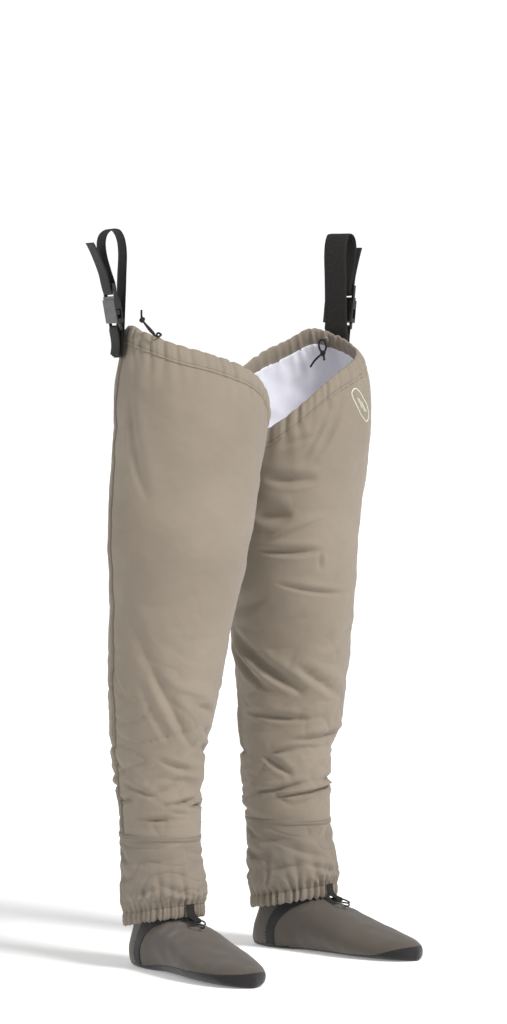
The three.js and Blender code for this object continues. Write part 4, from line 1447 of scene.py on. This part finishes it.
def make_straps(side):
    on_rim = strap_place(side)
    belt = (WEBBING_WIDTH, WEBBING_THICKNESS, on_rim, 0.3)
    for name, body, node, path, (width, thickness, place, sway) in (
        ("strap_anchor", "wader", "belt_strap_inner", STRAP_INNER, belt),
        ("strap_free", "plug", "belt_strap_outer", STRAP_OUTER, belt),
        ("buckle_loop", "wader", "buckle_tab", BUCKLE_TAB, (WEBBING_WIDTH, 1.4, on_rim, 0.0)),
        ("hook_loop", "wader", "hook_tab", HOOK_TAB, (14, 1.2, foot_place(side), 0.0)),
    ):
        strip = ribbon(f"{side}_{name}", side, path, width, thickness, place, sway)
        piece(strip, f"{side}_{body}", "webbing", WEBBING, f"{side}_{node}")


# ---------------------------------------------------------------- thigh label
LABEL_ANGLE = math.radians(87)
LABEL_HEIGHT = 818
LABEL_TILT = math.radians(45)


def make_label():
    """A generic embroidered badge: an oval outline of satin stitch with three plain bars inside."""
    surface = shell_surface("left")

    def on_cloth(across, up, extra):
        u = across * math.cos(LABEL_TILT) - up * math.sin(LABEL_TILT)
        v = across * math.sin(LABEL_TILT) + up * math.cos(LABEL_TILT)
        return surface(LABEL_ANGLE + u / 110, LABEL_HEIGHT + v, extra)

    points, faces = [], []

    def satin(track, width, closed):
        track = np.array(track, float)
        along = np.gradient(track, axis=0)
        if closed:
            along = np.roll(track, -1, axis=0) - np.roll(track, 1, axis=0)
        along /= np.linalg.norm(along, axis=1)[:, None]
        side_way = np.stack([-along[:, 1], along[:, 0]], axis=-1)
        first = len(points)
        profile = [(-0.5, 0.15), (-0.3, 0.75), (0, 0.95), (0.3, 0.75), (0.5, 0.15), (0, -0.4)]
        for i, (place, out) in enumerate(zip(track, side_way)):
            ridge = 0.12 * (-1) ** i
            for across, lift in profile:
                spot = place + out * across * (width + ridge)
                points.append(on_cloth(spot[0], spot[1], lift + ridge * (lift > 0.5)))
        count, rows = len(profile), len(track)
        for r in range(rows if closed else rows - 1):
            here, there = first + r * count, first + (r + 1) % rows * count
            for c in range(count):
                turn = (c + 1) % count
                faces.append((here + c, here + turn, there + turn, there + c))
        if not closed:
            faces.append(tuple(reversed(range(first, first + count))))
            faces.append(tuple(first + (rows - 1) * count + k for k in range(count)))

    turns = np.linspace(0, 2 * math.pi, 260, endpoint=False)
    power = 0.75
    outline = [
        (
            31 * math.copysign(abs(math.cos(t)) ** power, math.cos(t)),
            11 * math.copysign(abs(math.sin(t)) ** power, math.sin(t)),
        )
        for t in turns
    ]
    satin(outline, 1.9, True)
    for start, end, up in ((-17, 5, 2.6), (-13, 14, 0), (-3, 18, -2.6)):
        satin([(x, up) for x in np.arange(start, end, 0.6)], 1.5, False)
    badge = make_object("left_thigh_badge", points, faces, "left", np.zeros((len(points), 2)))
    piece(badge, "left_wader", "label_cloth", LABEL, "left_thigh_label")


for side in SIDES:
    make_sock(side)
    make_straps(side)
make_label()

# ---------------------------------------------------------------- CAD nodes that stay, with better finishes
KEPT_NODES = {
    "hem_eyelet": EYELET,
    "ankle_tape": BLACK_NEOPRENE,
    "guard_elastic": CORD,
    "lace_hook": WIRE,
    "buckle_socket": PLASTIC,
    "buckle_plug": PLASTIC,
    "buckle_prong_front": PLASTIC,
    "buckle_prong_rear": PLASTIC,
}


def finish_nodes(side):
    for node, material in KEPT_NODES.items():
        obj = bpy.data.objects[f"{side}_{node}"]
        for slot in obj.material_slots:
            slot.material = material
        if node.startswith("buckle"):
            bevel = obj.modifiers.new("soft edges", "BEVEL")
            bevel.width = 0.45 * MM
            bevel.segments = 2
            bevel.limit_method = "ANGLE"
            bevel.angle_limit = math.radians(35)


for side in SIDES:
    finish_nodes(side)

# ---------------------------------------------------------------- floor and light
FLOOR_HALF = 60.0  # metres
DOME_RADIUS = 58.0  # metres


def stage_piece(name, points, faces, surface):
    mesh = bpy.data.meshes.new(name)
    mesh.from_pydata(points, [], faces)
    mesh.materials.append(surface.material)
    obj = link(bpy.data.objects.new(name, mesh))
    return obj


def make_floor():
    paper = Surface("floor_paper")
    paper.colour(paper.noise(3, 2)["Fac"], 0.3, (0.9, 0.9, 0.9), 0.7, (0.92, 0.92, 0.92))
    paper.set(Roughness=0.9, Specular_IOR_Level=0.1, Emission_Color=(1, 1, 1, 1), Emission_Strength=0.25)
    corners = [(-FLOOR_HALF, -FLOOR_HALF, 0), (FLOOR_HALF, -FLOOR_HALF, 0)]
    corners += [(FLOOR_HALF, FLOOR_HALF, 0), (-FLOOR_HALF, FLOOR_HALF, 0)]
    stage_piece("floor", corners, [(0, 1, 2, 3)], paper)


def make_backdrop():
    """A white dome far behind everything. Only the camera sees it, so it adds no light of its own."""
    rings, around = 16, 48
    points = []
    for r in range(rings + 1):
        lift = math.radians(-4 + 94 * r / rings)
        out = DOME_RADIUS * math.cos(lift)
        for k in range(around):
            turn = 2 * math.pi * k / around
            points.append((out * math.cos(turn), out * math.sin(turn), DOME_RADIUS * math.sin(lift)))
    paper = Surface("backdrop_paper")
    paper.set(Base_Color=(0, 0, 0, 1), Emission_Color=(1, 1, 1, 1), Emission_Strength=1.0)
    dome = stage_piece("backdrop", points, grid_faces(rings + 1, around, flip=True), paper)
    for kind in ("diffuse", "glossy", "transmission", "volume_scatter", "shadow"):
        setattr(dome, "visible_" + kind, False)


def make_light():
    world = bpy.data.worlds.new("studio")
    bpy.context.scene.world = world
    world.use_nodes = True
    world.node_tree.nodes["Background"].inputs["Color"].default_value = (1, 1, 1, 1)
    world.node_tree.nodes["Background"].inputs["Strength"].default_value = 0.38
    for name, azimuth, elevation, strength, angle in (
        ("key", -2, 42, 3.3, 18),
        ("fill", -110, 35, 0.55, 60),
    ):
        data = bpy.data.lights.new(name, "SUN")
        data.energy = strength
        data.angle = math.radians(angle)
        lamp = link(bpy.data.objects.new(name, data))
        turn, lift = math.radians(azimuth), math.radians(elevation)
        toward = Vector((math.sin(turn) * math.cos(lift), -math.cos(turn) * math.cos(lift), math.sin(lift)))
        lamp.rotation_mode = "QUATERNION"
        lamp.rotation_quaternion = toward.to_track_quat("Z", "Y")
    view = bpy.context.scene.view_settings
    view.view_transform = "Standard"
    view.look = "None"
    view.exposure = 0
    view.gamma = 1


make_floor()
make_backdrop()
make_light()
